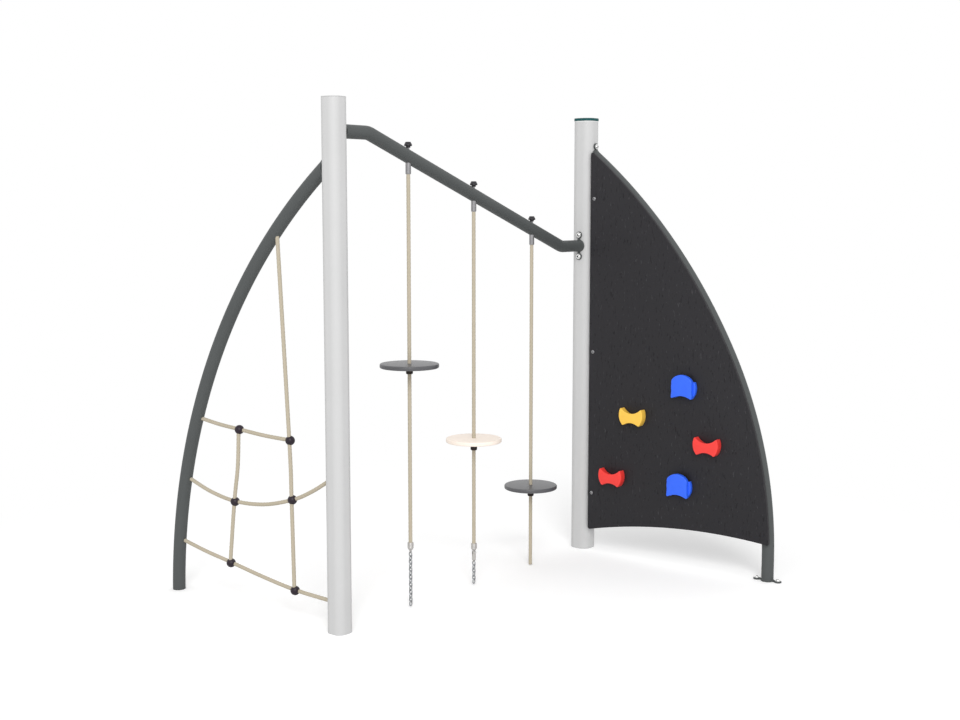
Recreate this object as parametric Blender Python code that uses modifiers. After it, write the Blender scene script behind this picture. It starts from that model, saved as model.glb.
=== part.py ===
"""Outdoor climbing gym: two posts, a sloping crossbar with three disc ropes,
a rope net under one bent arch and a climbing panel on the other.

Metres, +Z up, ground at Z = 0. +X runs from the front post to the rear post,
the net arch reaches towards +Y and the panel arch towards -Y. The origin is
the middle of the plan, on the ground.
"""
import bpy
import bmesh
from math import asin, atan2, cos, hypot, pi, radians, sin, sqrt, tan
from mathutils import Matrix, Vector

# Clearances
SEAT_GAP = 0.0003          # between pieces that touch or fit
SWAY_GAP = 0.0006          # above a hanging rope, which leans under its terminal
FLOOR_GAP = 0.004          # under the chains and the plain rope

# Posts, hollow rounded-square sections
POST_HEIGHT = 2.300        # to the top of the cap
POST_SPACING = 1.892
FRONT_POST_WIDTH = 0.095
FRONT_POST_CORNER = 0.036
FRONT_POST_WALL = 0.004
FRONT_CAP_THICKNESS = 0.004
REAR_POST_WIDTH = 0.114
REAR_POST_CORNER = 0.044
REAR_POST_WALL = 0.0045
REAR_CAP_THICKNESS = 0.016
REAR_CAP_OVERHANG = 0.002
CAP_SPIGOT_DEPTH = 0.020
CAP_SPIGOT_WALL = 0.004

# Steel tube of the crossbar and both arches
TUBE_DIAMETER = 0.0603
TUBE_WALL = 0.0036

# Crossbar, a level stub at each post and a straight slope between them
BAR_BELOW_POST_TOP = 0.142
BAR_FALL = 0.523
BAR_HIGH_STUB = 0.207      # front post axis to the upper bend
BAR_LOW_STUB = 0.225       # rear post axis to the lower bend
BAR_BEND_RADIUS = 0.100

# Welded two-eared flange at the tube ends
FLANGE_THICKNESS = 0.008
FLANGE_BOLT_SPACING = 0.113
FLANGE_EAR_RADIUS = 0.0195
FLANGE_NECK_WIDTH = 0.024
FLANGE_CORE_MARGIN = 0.003  # of the round middle beyond the tube
FLANGE_VENT_RADIUS = 0.012
FLANGE_BOLT_CLEARANCE = 0.001  # at least, of a washer from a slanting tube

# Button-head bolts with their washers
BOLT_DIAMETER = 0.010
BOLT_HEAD_RADIUS = 0.009
BOLT_HEAD_HEIGHT = 0.0055
WASHER_RADIUS = 0.014
WASHER_THICKNESS = 0.0025
BOLT_REACH = 0.012         # past the wall it screws into
SMALL_BOLT_DIAMETER = 0.008
SMALL_BOLT_HEAD_RADIUS = 0.0065
SMALL_BOLT_HEAD_HEIGHT = 0.004
SMALL_WASHER_RADIUS = 0.0092
SMALL_WASHER_THICKNESS = 0.0018
SMALL_BOLT_BITE = 0.011    # of a panel bolt into what it screws into

# Net arch, one bend from the ground to the front post
NET_ARCH_FOOT = 1.081      # post axis to the tube's axis at the ground
NET_ARCH_RADIUS = 2.588
NET_ARCH_BELOW_POST_TOP = 0.294

# Panel arch, a straight leg and two bends up to the rear post
WALL_ARCH_FOOT = 1.099
WALL_ARCH_LEG = 0.1185
WALL_ARCH_LOWER_RADIUS = 2.220
WALL_ARCH_LOWER_SWEEP = radians(26.9)
WALL_ARCH_BELOW_POST_TOP = 0.204

# Climbing panel
PANEL_THICKNESS = 0.018
PANEL_TUBE_GAP = 0.002     # behind the panel, to the front of the arch tube
PANEL_POST_GAP = 0.0065    # beside the rear post
PANEL_OVERHANG = 0.025     # beyond the arch tube's axis
PANEL_LOW_CORNER = 0.113   # height of the lower corner at the post
PANEL_HIGH_CORNER = 0.189  # height of the lower corner at the arch
PANEL_EDGE_RISE = 0.045    # of the hollow lower edge, at its middle
PANEL_TOP_CORNER_RADIUS = 0.022
PANEL_LOW_CORNER_RADIUS = 0.018
PANEL_HIGH_CORNER_RADIUS = 0.010
PANEL_BOLT_INSET = 0.0235  # from the panel's edge at the post
PANEL_TOP_BOLT_DROP = 0.419   # of the upper bolt below the post's top
PANEL_LOW_BOLT_RISE = 0.204   # of the lower bolt above the lower corner
PANEL_MIDDLE_BOLT_DROP = 0.023  # of the middle bolt below halfway
LUG_THICKNESS = 0.007
LUG_HEIGHT = 0.044
LUG_MARGIN = 0.017         # of a lug beyond its bolt's centre
ARCH_LUG_HEIGHTS = (0.620, 1.420)
ARCH_LUG_REACH = 0.052     # tube axis to the bolt, towards the post

# Moulded climbing holds
HOLD_DEPTH = 0.040
HOLD_HALF_HEIGHT = 0.0457
HOLD_TOP_HALF_WIDTH = 0.061
HOLD_FOOT_HALF_WIDTH = 0.048
HOLD_SIDE_BULGE = 0.0155
HOLD_TOP_HOLLOW = 0.021
HOLD_FOOT_HOLLOW = 0.0155
HOLD_DOME_RISE = 0.034
HOLD_EDGE_ROUND = 0.004
HOLD_STUD_DIAMETER = 0.010
HOLD_STUD_PROUD = 0.005    # of the stud's end behind the panel
HOLDS = {
    # name: distance from the post line, height, domed, finish
    "hold_blue_upper": (0.645, 0.922, True, "blue_plastic"),
    "hold_yellow": (0.348, 0.753, False, "yellow_plastic"),
    "hold_red_right": (0.786, 0.646, False, "red_plastic"),
    "hold_red_left": (0.225, 0.419, False, "red_plastic"),
    "hold_blue_lower": (0.628, 0.413, True, "blue_plastic"),
}

# Hanging ropes
ROPE_DIAMETER = 0.018
ROPE_PITCH = 0.469         # front post to the first rope, and rope to rope
TERMINAL_RADIUS = 0.0125
TERMINAL_BELOW_BAR = 0.078  # bar axis to the terminal's mouth
TERMINAL_EDGE_ROUND = 0.003
STUD_RADIUS = 0.006
CAP_NUT_RADIUS = 0.018
CAP_NUT_TOP_RADIUS = 0.0115
CAP_NUT_HEIGHT = 0.026
CAP_NUT_SKIRT = 0.007
STUD_IN_NUT = 0.014
DISC_RADIUS = 0.135
DISC_THICKNESS = 0.020
DISC_EDGE_ROUND = 0.006
DISC_RUNNING_GAP = 0.0005  # around the rope, so that the disc turns
DISC_TOPS = (1.136, 0.729, 0.422)
COLLAR_RADIUS = 0.016
COLLAR_HEIGHT = 0.034
COLLAR_CHAMFER = 0.003

# Chains at the lower ends of the first two ropes
CHAIN_LINKS = (14, 6)
LINK_WIRE = 0.006
LINK_INNER_WIDTH = 0.0084
LINK_PITCH = 0.0178
LINK_BITE = 0.0006         # of each link into the next, where they bear
SLEEVE_RADIUS = 0.014
SLEEVE_HEIGHT = 0.035
SLEEVE_BORE_DEPTH = 0.028
SLEEVE_GROOVE = 0.001
SLEEVE_BANDS = 2
EYE_PLATE_THICKNESS = 0.004
EYE_PLATE_WIDTH = 0.014
EYE_HOLE_GAP = 0.0009      # around the wire in an eye
EYE_BELOW_SLEEVE = 0.010
CONNECTOR_RADIUS = 0.0093
CONNECTOR_TOP_ABOVE_PIN = 0.006
PIN_RADIUS = 0.003
PIN_HEAD_RADIUS = 0.005
PIN_HEAD_HEIGHT = 0.003
CONNECTOR_LENGTH = 0.044   # pin to the chain's eye

# Rope net: (distance from the post line, height) of the rope crossings
NET_ROPE_PLANE = 0.0100    # the uprights pass on one side, the cross ropes on the other
BALL_RADIUS = 0.0215
NET_HIGH_INNER = (0.2925, 0.8147)
NET_HIGH_OUTER = (0.6240, 0.8289)
NET_MID_INNER = (0.2840, 0.5485)
NET_MID_OUTER = (0.6631, 0.4883)
NET_LOW_INNER = (0.2756, 0.1365)
NET_LOW_OUTER = (0.7000, 0.1923)
NET_UPRIGHT_ON_ARCH = 0.349  # where the long upright meets the arch's axis
NET_HIGH_ON_ARCH = 0.8575    # heights at which the cross ropes meet the arch's axis
NET_MID_ON_ARCH = 0.5620
NET_LOW_ON_ARCH = 0.2510
NET_MID_ON_POST = 0.6690
NET_LOW_ON_POST = 0.1270
NET_MID_SAG_POINT = (0.4690, 0.5010)
ROPE_END_IN_POST = 0.016
ROPE_END_IN_BALL = 0.006
ROPE_POINT_SPACING = 3.0     # of the route's points, in rope diameters

ROUND_STEPS = 16           # sides of the turned pieces
DISC_STEPS = 32
BOLT_STEPS = 8
HOLE_STEPS = 8
CORNER_STEPS = 4           # segments of a post's rounded corner
TUBE_RING_STEPS = 4        # bevel resolution of the steel tubes, which gives 12 sides
ROPE_RING_STEPS = 2        # and of the ropes, 8 sides
BEND_STEPS = 4
LINK_STEPS = 5             # segments of a chain link's round end
LINK_RING_STEPS = 0        # and of its wire, 4 sides
ARCH_STEP = 0.160          # between the points along an arch

# Placing the plan so that its outer box is centred on the origin
tube_radius = TUBE_DIAMETER / 2
rope_radius = ROPE_DIAMETER / 2
front_half = FRONT_POST_WIDTH / 2
rear_half = REAR_POST_WIDTH / 2
flange_reach = FLANGE_BOLT_SPACING / 2 + FLANGE_EAR_RADIUS
front_x = (front_half - POST_SPACING - rear_half - REAR_CAP_OVERHANG) / 2
rear_x = front_x + POST_SPACING


def circle_centre(foot, top, radius):
    """Centre of the circle through two points, on the side nearer the post line."""
    middle = Vector(((foot[0] + top[0]) / 2, (foot[1] + top[1]) / 2))
    chord = Vector((top[0] - foot[0], top[1] - foot[1]))
    away = sqrt(radius ** 2 - (chord.length / 2) ** 2)
    inward = Vector((-chord.y, chord.x)).normalized()
    return middle + inward * away


net_foot = (NET_ARCH_FOOT, 0.0)
flange_face = SEAT_GAP + FLANGE_THICKNESS
net_top = (front_half + flange_face, POST_HEIGHT - NET_ARCH_BELOW_POST_TOP)
net_centre = circle_centre(net_foot, net_top, NET_ARCH_RADIUS)
net_top_turn = atan2(net_top[1] - net_centre.y, net_top[0] - net_centre.x)
net_slant = pi / 2 - net_top_turn  # of the tube to its flange, at the post
net_reach = net_centre.x + sqrt((NET_ARCH_RADIUS + tube_radius) ** 2 - net_centre.y ** 2)
wall_reach = WALL_ARCH_FOOT + flange_reach
line_y = (wall_reach - net_reach) / 2

scene_collection = bpy.context.scene.collection
for leftover in list(bpy.data.objects):
    bpy.data.objects.remove(leftover, do_unlink=True)
parts = bpy.data.collections.new("climbing_gym")
guides = bpy.data.collections.new("cutters")
scene_collection.children.link(parts)
scene_collection.children.link(guides)


def srgb(code):
    """Linear colour of a six-digit sRGB hex code."""
    levels = [int(code[i:i + 2], 16) / 255 for i in (0, 2, 4)]
    return [v / 12.92 if v <= 0.04045 else ((v + 0.055) / 1.055) ** 2.4 for v in levels] + [1.0]


FINISHES = {
    # name: colour, roughness, metallic
    "light_grey_coating": ("d3d3d3", 0.45, 0.0),
    "teal_plastic": ("1f6463", 0.40, 0.0),
    "dark_grey_coating": ("575f5f", 0.45, 0.0),
    "black_panel": ("373739", 0.75, 0.0),
    "red_plastic": ("fb4a42", 0.45, 0.0),
    "yellow_plastic": ("fdcb57", 0.45, 0.0),
    "blue_plastic": ("4070ff", 0.45, 0.0),
    "stainless_steel": ("d5d5d5", 0.30, 1.0),
    "swaged_aluminium": ("b4b2b0", 0.35, 1.0),
    "black_plastic": ("2b2830", 0.50, 0.0),
    "beige_rope": ("cdbfa5", 0.85, 0.0),
    "grey_rubber": ("6c6c70", 0.55, 0.0),
    "cream_rubber": ("fdeee4", 0.55, 0.0),
    "galvanised_steel": ("a9acae", 0.40, 1.0),
}


def finish(name):
    material = bpy.data.materials.get(name)
    if material is None:
        colour, roughness, metallic = FINISHES[name]
        material = bpy.data.materials.new(name)
        material.use_nodes = True
        shader = material.node_tree.nodes["Principled BSDF"]
        shader.inputs["Base Color"].default_value = srgb(colour)
        shader.inputs["Roughness"].default_value = roughness
        shader.inputs["Metallic"].default_value = metallic
    return material


def guide(mesh, name="guide"):
    """A helper solid in the cutters' collection."""
    obj = bpy.data.objects.new(name, mesh)
    obj.hide_render = True
    obj.display_type = "WIRE"
    guides.objects.link(obj)
    return obj


def solid(obj):
    """Turn an object with its modifiers, or a curve, into a welded closed mesh."""
    bpy.context.view_layer.update()
    evaluated = obj.evaluated_get(bpy.context.evaluated_depsgraph_get())
    mesh = bpy.data.meshes.new_from_object(evaluated)
    mesh.transform(obj.matrix_world)
    bpy.data.objects.remove(obj, do_unlink=True)
    bm = bmesh.new()
    bm.from_mesh(mesh)
    bmesh.ops.remove_doubles(bm, verts=bm.verts, dist=0.00001)
    bmesh.ops.recalc_face_normals(bm, faces=bm.faces)
    bm.to_mesh(mesh)
    bm.free()
    return guide(mesh)


def part(name, obj, look, origin=(0.0, 0.0, 0.0)):
    """Move a finished solid into the object's own collection, with its origin at a point."""
    obj.name = name
    obj.data.name = name
    obj.data.materials.clear()
    obj.data.materials.append(finish(look))
    obj.data.transform(Matrix.Translation(-Vector(origin)))
    obj.location = origin
    obj.data.shade_smooth()
    obj.data.set_sharp_from_angle(angle=radians(35))
    obj.hide_render = False
    obj.display_type = "TEXTURED"
    guides.objects.unlink(obj)
    parts.objects.link(obj)
    return obj


def combine(base, tool, operation):
    """Join or cut two solids with an exact Boolean."""
    modifier = base.modifiers.new(operation.lower(), "BOOLEAN")
    modifier.operation = operation
    modifier.solver = "EXACT"
    modifier.object = tool
    result = solid(base)
    bpy.data.objects.remove(tool, do_unlink=True)
    return result


def join(base, tool):
    return combine(base, tool, "UNION")


def cut(base, tool):
    return combine(base, tool, "DIFFERENCE")


def arc(centre, radius, start, end, steps):
    """Points of an arc in the plane, both ends included."""
    turns = [start + (end - start) * i / steps for i in range(steps + 1)]
    return [(centre[0] + radius * cos(a), centre[1] + radius * sin(a)) for a in turns]


def ring(centre, radius, steps=HOLE_STEPS):
    return arc(centre, radius, 0.0, 2 * pi, steps)[:-1]


def bowed(start, end, rise, steps):
    """Arc from start to end that bows to the left of the way by rise, or to the right if negative."""
    a, b = Vector(start), Vector(end)
    half = (b - a).length / 2
    radius = (half ** 2 + rise ** 2) / (2 * rise)
    left = Vector((-(b - a).y, (b - a).x)).normalized()
    centre = (a + b) / 2 + left * (rise - radius)
    first = atan2(a.y - centre.y, a.x - centre.x)
    sweep = -2 * asin(half / radius)
    return arc(centre, abs(radius), first, first + sweep, steps)


def rounded(points, radii, closed, steps):
    """Round the corners of a path that have a radius, as (point, radius) pairs or None."""
    result = []
    count = len(points)
    for i, point in enumerate(points):
        radius = radii[i]
        if radius is None or (not closed and i in (0, count - 1)):
            result.append(Vector(point))
            continue
        here = Vector(point)
        back = (Vector(points[i - 1]) - here).normalized()
        ahead = (Vector(points[(i + 1) % count]) - here).normalized()
        half_angle = back.angle(ahead) / 2
        centre = here + (back + ahead).normalized() * (radius / sin(half_angle))
        first = here + back * (radius / tan(half_angle)) - centre
        last = here + ahead * (radius / tan(half_angle)) - centre
        turn = pi - 2 * half_angle
        for k in range(steps + 1):
            share = k / steps
            mixed = first * sin((1 - share) * turn) + last * sin(share * turn)
            result.append(centre + mixed / sin(turn))
    return result


def plate(loops, thickness, frame=Matrix.Identity(4)):
    """A flat piece with its holes: the first loop is its outline, and the frame places it.

    It lies in the frame's XY plane and rises by its thickness along Z.
    """
    curve = bpy.data.curves.new("outline", "CURVE")
    curve.dimensions = "2D"
    curve.fill_mode = "BOTH"
    curve.extrude = thickness / 2
    for loop in loops:
        spline = curve.splines.new("POLY")
        spline.points.add(len(loop) - 1)
        for control, point in zip(spline.points, loop):
            control.co = (point[0], point[1], 0.0, 1.0)
        spline.use_cyclic_u = True
    obj = bpy.data.objects.new("outline", curve)
    guides.objects.link(obj)
    obj.matrix_world = frame @ Matrix.Translation((0.0, 0.0, thickness / 2))
    return solid(obj)


def rod(route, radius, resolution, caps=True, cyclic=False):
    """A round bar, tube skin, wire or rope along a route."""
    curve = bpy.data.curves.new("route", "CURVE")
    curve.dimensions = "3D"
    curve.bevel_depth = radius
    curve.bevel_resolution = resolution
    curve.use_fill_caps = caps
    spline = curve.splines.new("POLY")
    spline.points.add(len(route) - 1)
    for control, point in zip(spline.points, route):
        control.co = (point[0], point[1], point[2], 1.0)
    spline.use_cyclic_u = cyclic
    obj = bpy.data.objects.new("route", curve)
    guides.objects.link(obj)
    return solid(obj)


def pipe(route):
    """Steel tube with its wall, open at both ends."""
    skin = rod(route, tube_radius, TUBE_RING_STEPS, caps=False)
    wall = skin.modifiers.new("wall", "SOLIDIFY")
    wall.thickness = TUBE_WALL
    wall.offset = -1.0
    wall.use_even_offset = True
    return solid(skin)


def turned(profile, centre, steps=ROUND_STEPS, closed=False, frame=Matrix.Identity(4)):
    """A turned piece about Z: the profile is (radius, height) from top to bottom, outside."""
    mesh = bpy.data.meshes.new("profile")
    bm = bmesh.new()
    corners = [bm.verts.new((r, 0.0, z)) for r, z in profile]
    for first, second in zip(corners, corners[1:]):
        bm.edges.new((first, second))
    if closed:
        bm.edges.new((corners[-1], corners[0]))
    bm.to_mesh(mesh)
    bm.free()
    obj = guide(mesh)
    screw = obj.modifiers.new("turn", "SCREW")
    screw.axis = "Z"
    screw.angle = 2 * pi
    screw.steps = steps
    screw.render_steps = steps
    screw.use_merge_vertices = True
    screw.merge_threshold = 0.00001
    obj.matrix_world = Matrix.Translation(centre) @ frame
    return solid(obj)


def block(low, high):
    """A box between two corners."""
    bm = bmesh.new()
    bmesh.ops.create_cube(bm, size=1.0)
    size = Vector(high) - Vector(low)
    bmesh.ops.scale(bm, vec=size, verts=bm.verts)
    bmesh.ops.translate(bm, vec=(Vector(high) + Vector(low)) / 2, verts=bm.verts)
    mesh = bpy.data.meshes.new("block")
    bm.to_mesh(mesh)
    bm.free()
    return guide(mesh)


def cylinder(start, end, radius, steps=HOLE_STEPS):
    """A plain round bar between two points."""
    a, b = Vector(start), Vector(end)
    bm = bmesh.new()
    bmesh.ops.create_cone(bm, cap_ends=True, segments=steps, radius1=radius, radius2=radius,
                          depth=(b - a).length)
    turn = Vector((0.0, 0.0, 1.0)).rotation_difference(b - a).to_matrix().to_4x4()
    bm.transform(Matrix.Translation((a + b) / 2) @ turn)
    mesh = bpy.data.meshes.new("cylinder")
    bm.to_mesh(mesh)
    bm.free()
    return guide(mesh)


def axes(origin, x_axis, y_axis):
    """Placing matrix from an origin and the directions of local X and Y."""
    x_dir, y_dir = Vector(x_axis), Vector(y_axis)
    z_dir = x_dir.cross(y_dir)
    basis = Matrix((x_dir, y_dir, z_dir)).transposed().to_4x4()
    return Matrix.Translation(origin) @ basis


# Posts
def post_outline(width, corner):
    """Rounded-square section, with flat sides between its corner arcs."""
    inner = width / 2 - corner
    points = []
    for k, (sx, sy) in enumerate(((1, 1), (-1, 1), (-1, -1), (1, -1))):
        points += arc((sx * inner, sy * inner), corner, k * pi / 2, (k + 1) * pi / 2, CORNER_STEPS)
    return points


def post_shell(x, width, corner, wall, height):
    outside = post_outline(width, corner)
    inside = post_outline(width - 2 * wall, corner - wall)
    frame = Matrix.Translation((x, line_y, 0.0))
    return plate([outside, inside], height, frame)


def post_cap(name, look, x, width, corner, wall, thickness, overhang):
    """Cap plate over the post's end, with a hollow spigot that plugs into the post."""
    top = POST_HEIGHT
    lid = plate([post_outline(width + 2 * overhang, corner + overhang)], thickness,
                Matrix.Translation((x, line_y, top - thickness)))
    fit = wall + SEAT_GAP
    outside = post_outline(width - 2 * fit, corner - fit)
    inner = fit + CAP_SPIGOT_WALL
    inside = post_outline(width - 2 * inner, corner - inner)
    depth = CAP_SPIGOT_DEPTH + thickness / 2
    spigot = plate([outside, inside], depth,
                   Matrix.Translation((x, line_y, top - thickness / 2 - depth)))
    part(name, join(lid, spigot), look)


front_height = POST_HEIGHT - FRONT_CAP_THICKNESS - SEAT_GAP
rear_height = POST_HEIGHT - REAR_CAP_THICKNESS - SEAT_GAP
front_post = post_shell(front_x, FRONT_POST_WIDTH, FRONT_POST_CORNER, FRONT_POST_WALL, front_height)
rear_post = post_shell(rear_x, REAR_POST_WIDTH, REAR_POST_CORNER, REAR_POST_WALL, rear_height)
post_cap("front_post_cap", "light_grey_coating", front_x, FRONT_POST_WIDTH, FRONT_POST_CORNER,
         FRONT_POST_WALL, FRONT_CAP_THICKNESS, 0.0)
post_cap("rear_post_cap", "teal_plastic", rear_x, REAR_POST_WIDTH, REAR_POST_CORNER,
         REAR_POST_WALL, REAR_CAP_THICKNESS, REAR_CAP_OVERHANG)


# Flanges and their bolts
def bolt_offset(slant):
    """Distance of a flange's bolts from its middle: a steep tube spreads them."""
    least = (tube_radius / cos(slant) + WASHER_THICKNESS * tan(slant) + WASHER_RADIUS
             + FLANGE_BOLT_CLEARANCE)
    return max(FLANGE_BOLT_SPACING / 2, least)


def flange(frame, slant=0.0):
    """Two-eared plate: ears along local Y, welded to the tube on its +Z side.

    The middle is oval where the tube meets it at a slant.
    """
    core_stretch = 1 / cos(slant)
    ear_y = bolt_offset(slant)
    half_neck = FLANGE_NECK_WIDTH / 2
    core = tube_radius + FLANGE_CORE_MARGIN
    ear_turn = asin(half_neck / FLANGE_EAR_RADIUS)
    core_turn = asin(half_neck / core)
    upper_ear = arc((0.0, ear_y), FLANGE_EAR_RADIUS, -pi / 2 + ear_turn, 1.5 * pi - ear_turn, 8)
    left_core = [(x, y * core_stretch) for x, y in
                 arc((0.0, 0.0), core, pi / 2 + core_turn, 1.5 * pi - core_turn, 6)]
    lower_ear = [(-x, -y) for x, y in upper_ear]
    right_core = [(-x, -y) for x, y in left_core]
    outline = upper_ear + left_core + lower_ear + right_core
    hole = BOLT_DIAMETER / 2 + SEAT_GAP
    holes = [ring((0.0, ear_y), hole), ring((0.0, -ear_y), hole),
             ring((0.0, 0.0), FLANGE_VENT_RADIUS)]
    return plate([outline] + holes, FLANGE_THICKNESS, frame)


def bolt_profile(shank, shank_length, head, head_height, washer, washer_thickness):
    """Domed head over its washer, seated at height 0, with the shank below."""
    dome = [(head * sin(a), washer_thickness + head_height * cos(a))
            for a in (0.0, 0.8, pi / 2)]
    return dome + [(washer, washer_thickness), (washer, 0.0), (shank, 0.0),
                   (shank, -shank_length), (0.0, -shank_length)]


def bolt(name, seat, outward, reach):
    """A flange bolt whose washer sits on a face, its shank running inwards."""
    profile = bolt_profile(BOLT_DIAMETER / 2, reach, BOLT_HEAD_RADIUS, BOLT_HEAD_HEIGHT,
                           WASHER_RADIUS, WASHER_THICKNESS)
    turn = Vector((0.0, 0.0, 1.0)).rotation_difference(Vector(outward)).to_matrix().to_4x4()
    lifted = Vector(seat) + Vector(outward) * SEAT_GAP
    part(name, turned(profile, lifted, BOLT_STEPS, frame=turn), "stainless_steel", seat)


def flange_bolts(prefix, centre, outward, along, into, slant=0.0):
    """Both bolts of a flange; the centre is on the face that the flange sits against."""
    for side, label in ((1, "a"), (-1, "b")):
        seat = (Vector(centre) + Vector(along) * (side * bolt_offset(slant))
                + Vector(outward) * (SEAT_GAP + FLANGE_THICKNESS))
        bolt(prefix + "_bolt_" + label, seat, outward,
             2 * SEAT_GAP + FLANGE_THICKNESS + into + BOLT_REACH)


def bolt_holes(target, centre, outward, along, depth, slant=0.0):
    """Clearance holes for a flange's two bolts in what they screw into."""
    for side in (1, -1):
        middle = Vector(centre) + Vector(along) * (side * bolt_offset(slant))
        away = Vector(outward)
        target = cut(target, cylinder(middle + away * depth, middle - away * depth,
                                      BOLT_DIAMETER / 2 + SEAT_GAP))
    return target


UP = (0.0, 0.0, 1.0)
bar_high_z = POST_HEIGHT - BAR_BELOW_POST_TOP
bar_low_z = bar_high_z - BAR_FALL
bar_front_face = (front_x + front_half, line_y, bar_high_z)
bar_rear_face = (rear_x - rear_half, line_y, bar_low_z)
net_top_face = (front_x, line_y + front_half, net_top[1])
wall_top_z = POST_HEIGHT - WALL_ARCH_BELOW_POST_TOP
wall_top_face = (rear_x, line_y - rear_half, wall_top_z)
front_depth = 2 * FRONT_POST_WALL
rear_depth = 2 * REAR_POST_WALL
front_post = bolt_holes(front_post, bar_front_face, (1, 0, 0), UP, front_depth)
front_post = bolt_holes(front_post, net_top_face, (0, 1, 0), UP, front_depth, net_slant)
flange_bolts("crossbar_front", bar_front_face, (1, 0, 0), UP, FRONT_POST_WALL)
flange_bolts("crossbar_rear", bar_rear_face, (-1, 0, 0), UP, REAR_POST_WALL)
flange_bolts("net_arch", net_top_face, (0, 1, 0), UP, FRONT_POST_WALL, net_slant)

# Crossbar
bar_bends = [
    (front_x + front_half + SEAT_GAP + FLANGE_THICKNESS / 2, line_y, bar_high_z),
    (front_x + BAR_HIGH_STUB, line_y, bar_high_z),
    (rear_x - BAR_LOW_STUB, line_y, bar_low_z),
    (rear_x - rear_half - SEAT_GAP - FLANGE_THICKNESS / 2, line_y, bar_low_z),
]
bar_slope = BAR_FALL / (POST_SPACING - BAR_HIGH_STUB - BAR_LOW_STUB)
bar_route = rounded(bar_bends, [None, BAR_BEND_RADIUS, BAR_BEND_RADIUS, None], False, BEND_STEPS)
crossbar = pipe(bar_route)
front_flange = axes((bar_front_face[0] + SEAT_GAP, line_y, bar_high_z), (0, 1, 0), UP)
rear_flange = axes((bar_rear_face[0] - SEAT_GAP, line_y, bar_low_z), (0, -1, 0), UP)
crossbar = join(crossbar, flange(front_flange))
crossbar = join(crossbar, flange(rear_flange))


def bar_axis_z(x):
    """Height of the crossbar's axis on its slope."""
    return bar_high_z - (x - front_x - BAR_HIGH_STUB) * bar_slope


# Rope terminals through the crossbar, and the cap nuts on top
rope_x = [front_x + ROPE_PITCH * (i + 1) for i in range(3)]
mouth_z = [bar_axis_z(x) - TERMINAL_BELOW_BAR for x in rope_x]
bar_half_height = tube_radius * sqrt(1 + bar_slope ** 2)
for number, (x, mouth) in enumerate(zip(rope_x, mouth_z), 1):
    axis_z = bar_axis_z(x)
    nut_z = axis_z + bar_half_height + CAP_NUT_RADIUS * bar_slope + SEAT_GAP
    stud_top = nut_z + STUD_IN_NUT
    hang = (x, line_y, 0.0)
    terminal = [
        (0.0, stud_top), (STUD_RADIUS, stud_top), (STUD_RADIUS, axis_z), (TERMINAL_RADIUS, axis_z),
    ]
    terminal += arc((TERMINAL_RADIUS - TERMINAL_EDGE_ROUND, mouth + TERMINAL_EDGE_ROUND),
                    TERMINAL_EDGE_ROUND, 0.0, -pi / 2, 2)
    terminal.append((0.0, mouth))
    part("rope_terminal_%d" % number, turned(terminal, hang), "swaged_aluminium", (x, line_y, mouth))
    bore_low = axis_z - 2 * tube_radius
    crossbar = cut(crossbar, cylinder((x, line_y, bore_low), (x, line_y, axis_z),
                                      TERMINAL_RADIUS + SEAT_GAP, ROUND_STEPS))
    crossbar = cut(crossbar, cylinder((x, line_y, axis_z), (x, line_y, axis_z + 2 * tube_radius),
                                      STUD_RADIUS + SEAT_GAP, ROUND_STEPS))
    nut_top = nut_z + CAP_NUT_HEIGHT
    bore = STUD_RADIUS + SEAT_GAP
    nut = [
        (0.0, nut_top), (CAP_NUT_TOP_RADIUS * 0.85, nut_top),
        (CAP_NUT_TOP_RADIUS, nut_top - 0.15 * CAP_NUT_TOP_RADIUS),
        (CAP_NUT_RADIUS, nut_z + CAP_NUT_SKIRT), (CAP_NUT_RADIUS, nut_z), (bore, nut_z),
        (bore, stud_top + SEAT_GAP), (0.0, stud_top + SEAT_GAP),
    ]
    part("cap_nut_%d" % number, turned(nut, hang), "black_plastic", (x, line_y, nut_z))
part("crossbar", crossbar, "dark_grey_coating", bar_front_face)


# Net arch
def arch_point(distance, height):
    """A point of the net's plane, from its distance to the post line and its height."""
    return Vector((front_x, line_y + distance, height))


def net_arch_height(distance):
    return net_centre.y + sqrt(NET_ARCH_RADIUS ** 2 - (distance - net_centre.x) ** 2)


def net_arch_distance(height):
    return net_centre.x + sqrt(NET_ARCH_RADIUS ** 2 - (height - net_centre.y) ** 2)


def flat_arc(centre, radius, start, end):
    """Arc of an arch in (distance, height), with a point about every ARCH_STEP."""
    steps = max(2, round(radius * abs(end - start) / ARCH_STEP))
    return arc(centre, radius, start, end, steps)


spare = TUBE_DIAMETER / NET_ARCH_RADIUS
foot_turn = atan2(-net_centre.y, net_foot[0] - net_centre.x)
net_route = flat_arc(net_centre, NET_ARCH_RADIUS, foot_turn - spare, net_top_turn + spare)
net_arch = pipe([arch_point(y, z) for y, z in net_route])
reach = 2 * TUBE_DIAMETER
plate_middle = line_y + front_half + SEAT_GAP + FLANGE_THICKNESS / 2
net_arch = cut(net_arch, block((front_x - reach, line_y - reach, net_top[1] - 2 * reach),
                               (front_x + reach, plate_middle, POST_HEIGHT + reach)))
net_arch = cut(net_arch, block((front_x - reach, line_y + NET_ARCH_FOOT - reach, -2 * reach),
                               (front_x + reach, line_y + NET_ARCH_FOOT + reach, 0.0)))
net_flange = axes((front_x, line_y + front_half + SEAT_GAP, net_top[1]), (-1, 0, 0), UP)
net_arch = join(net_arch, flange(net_flange, net_slant))


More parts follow.
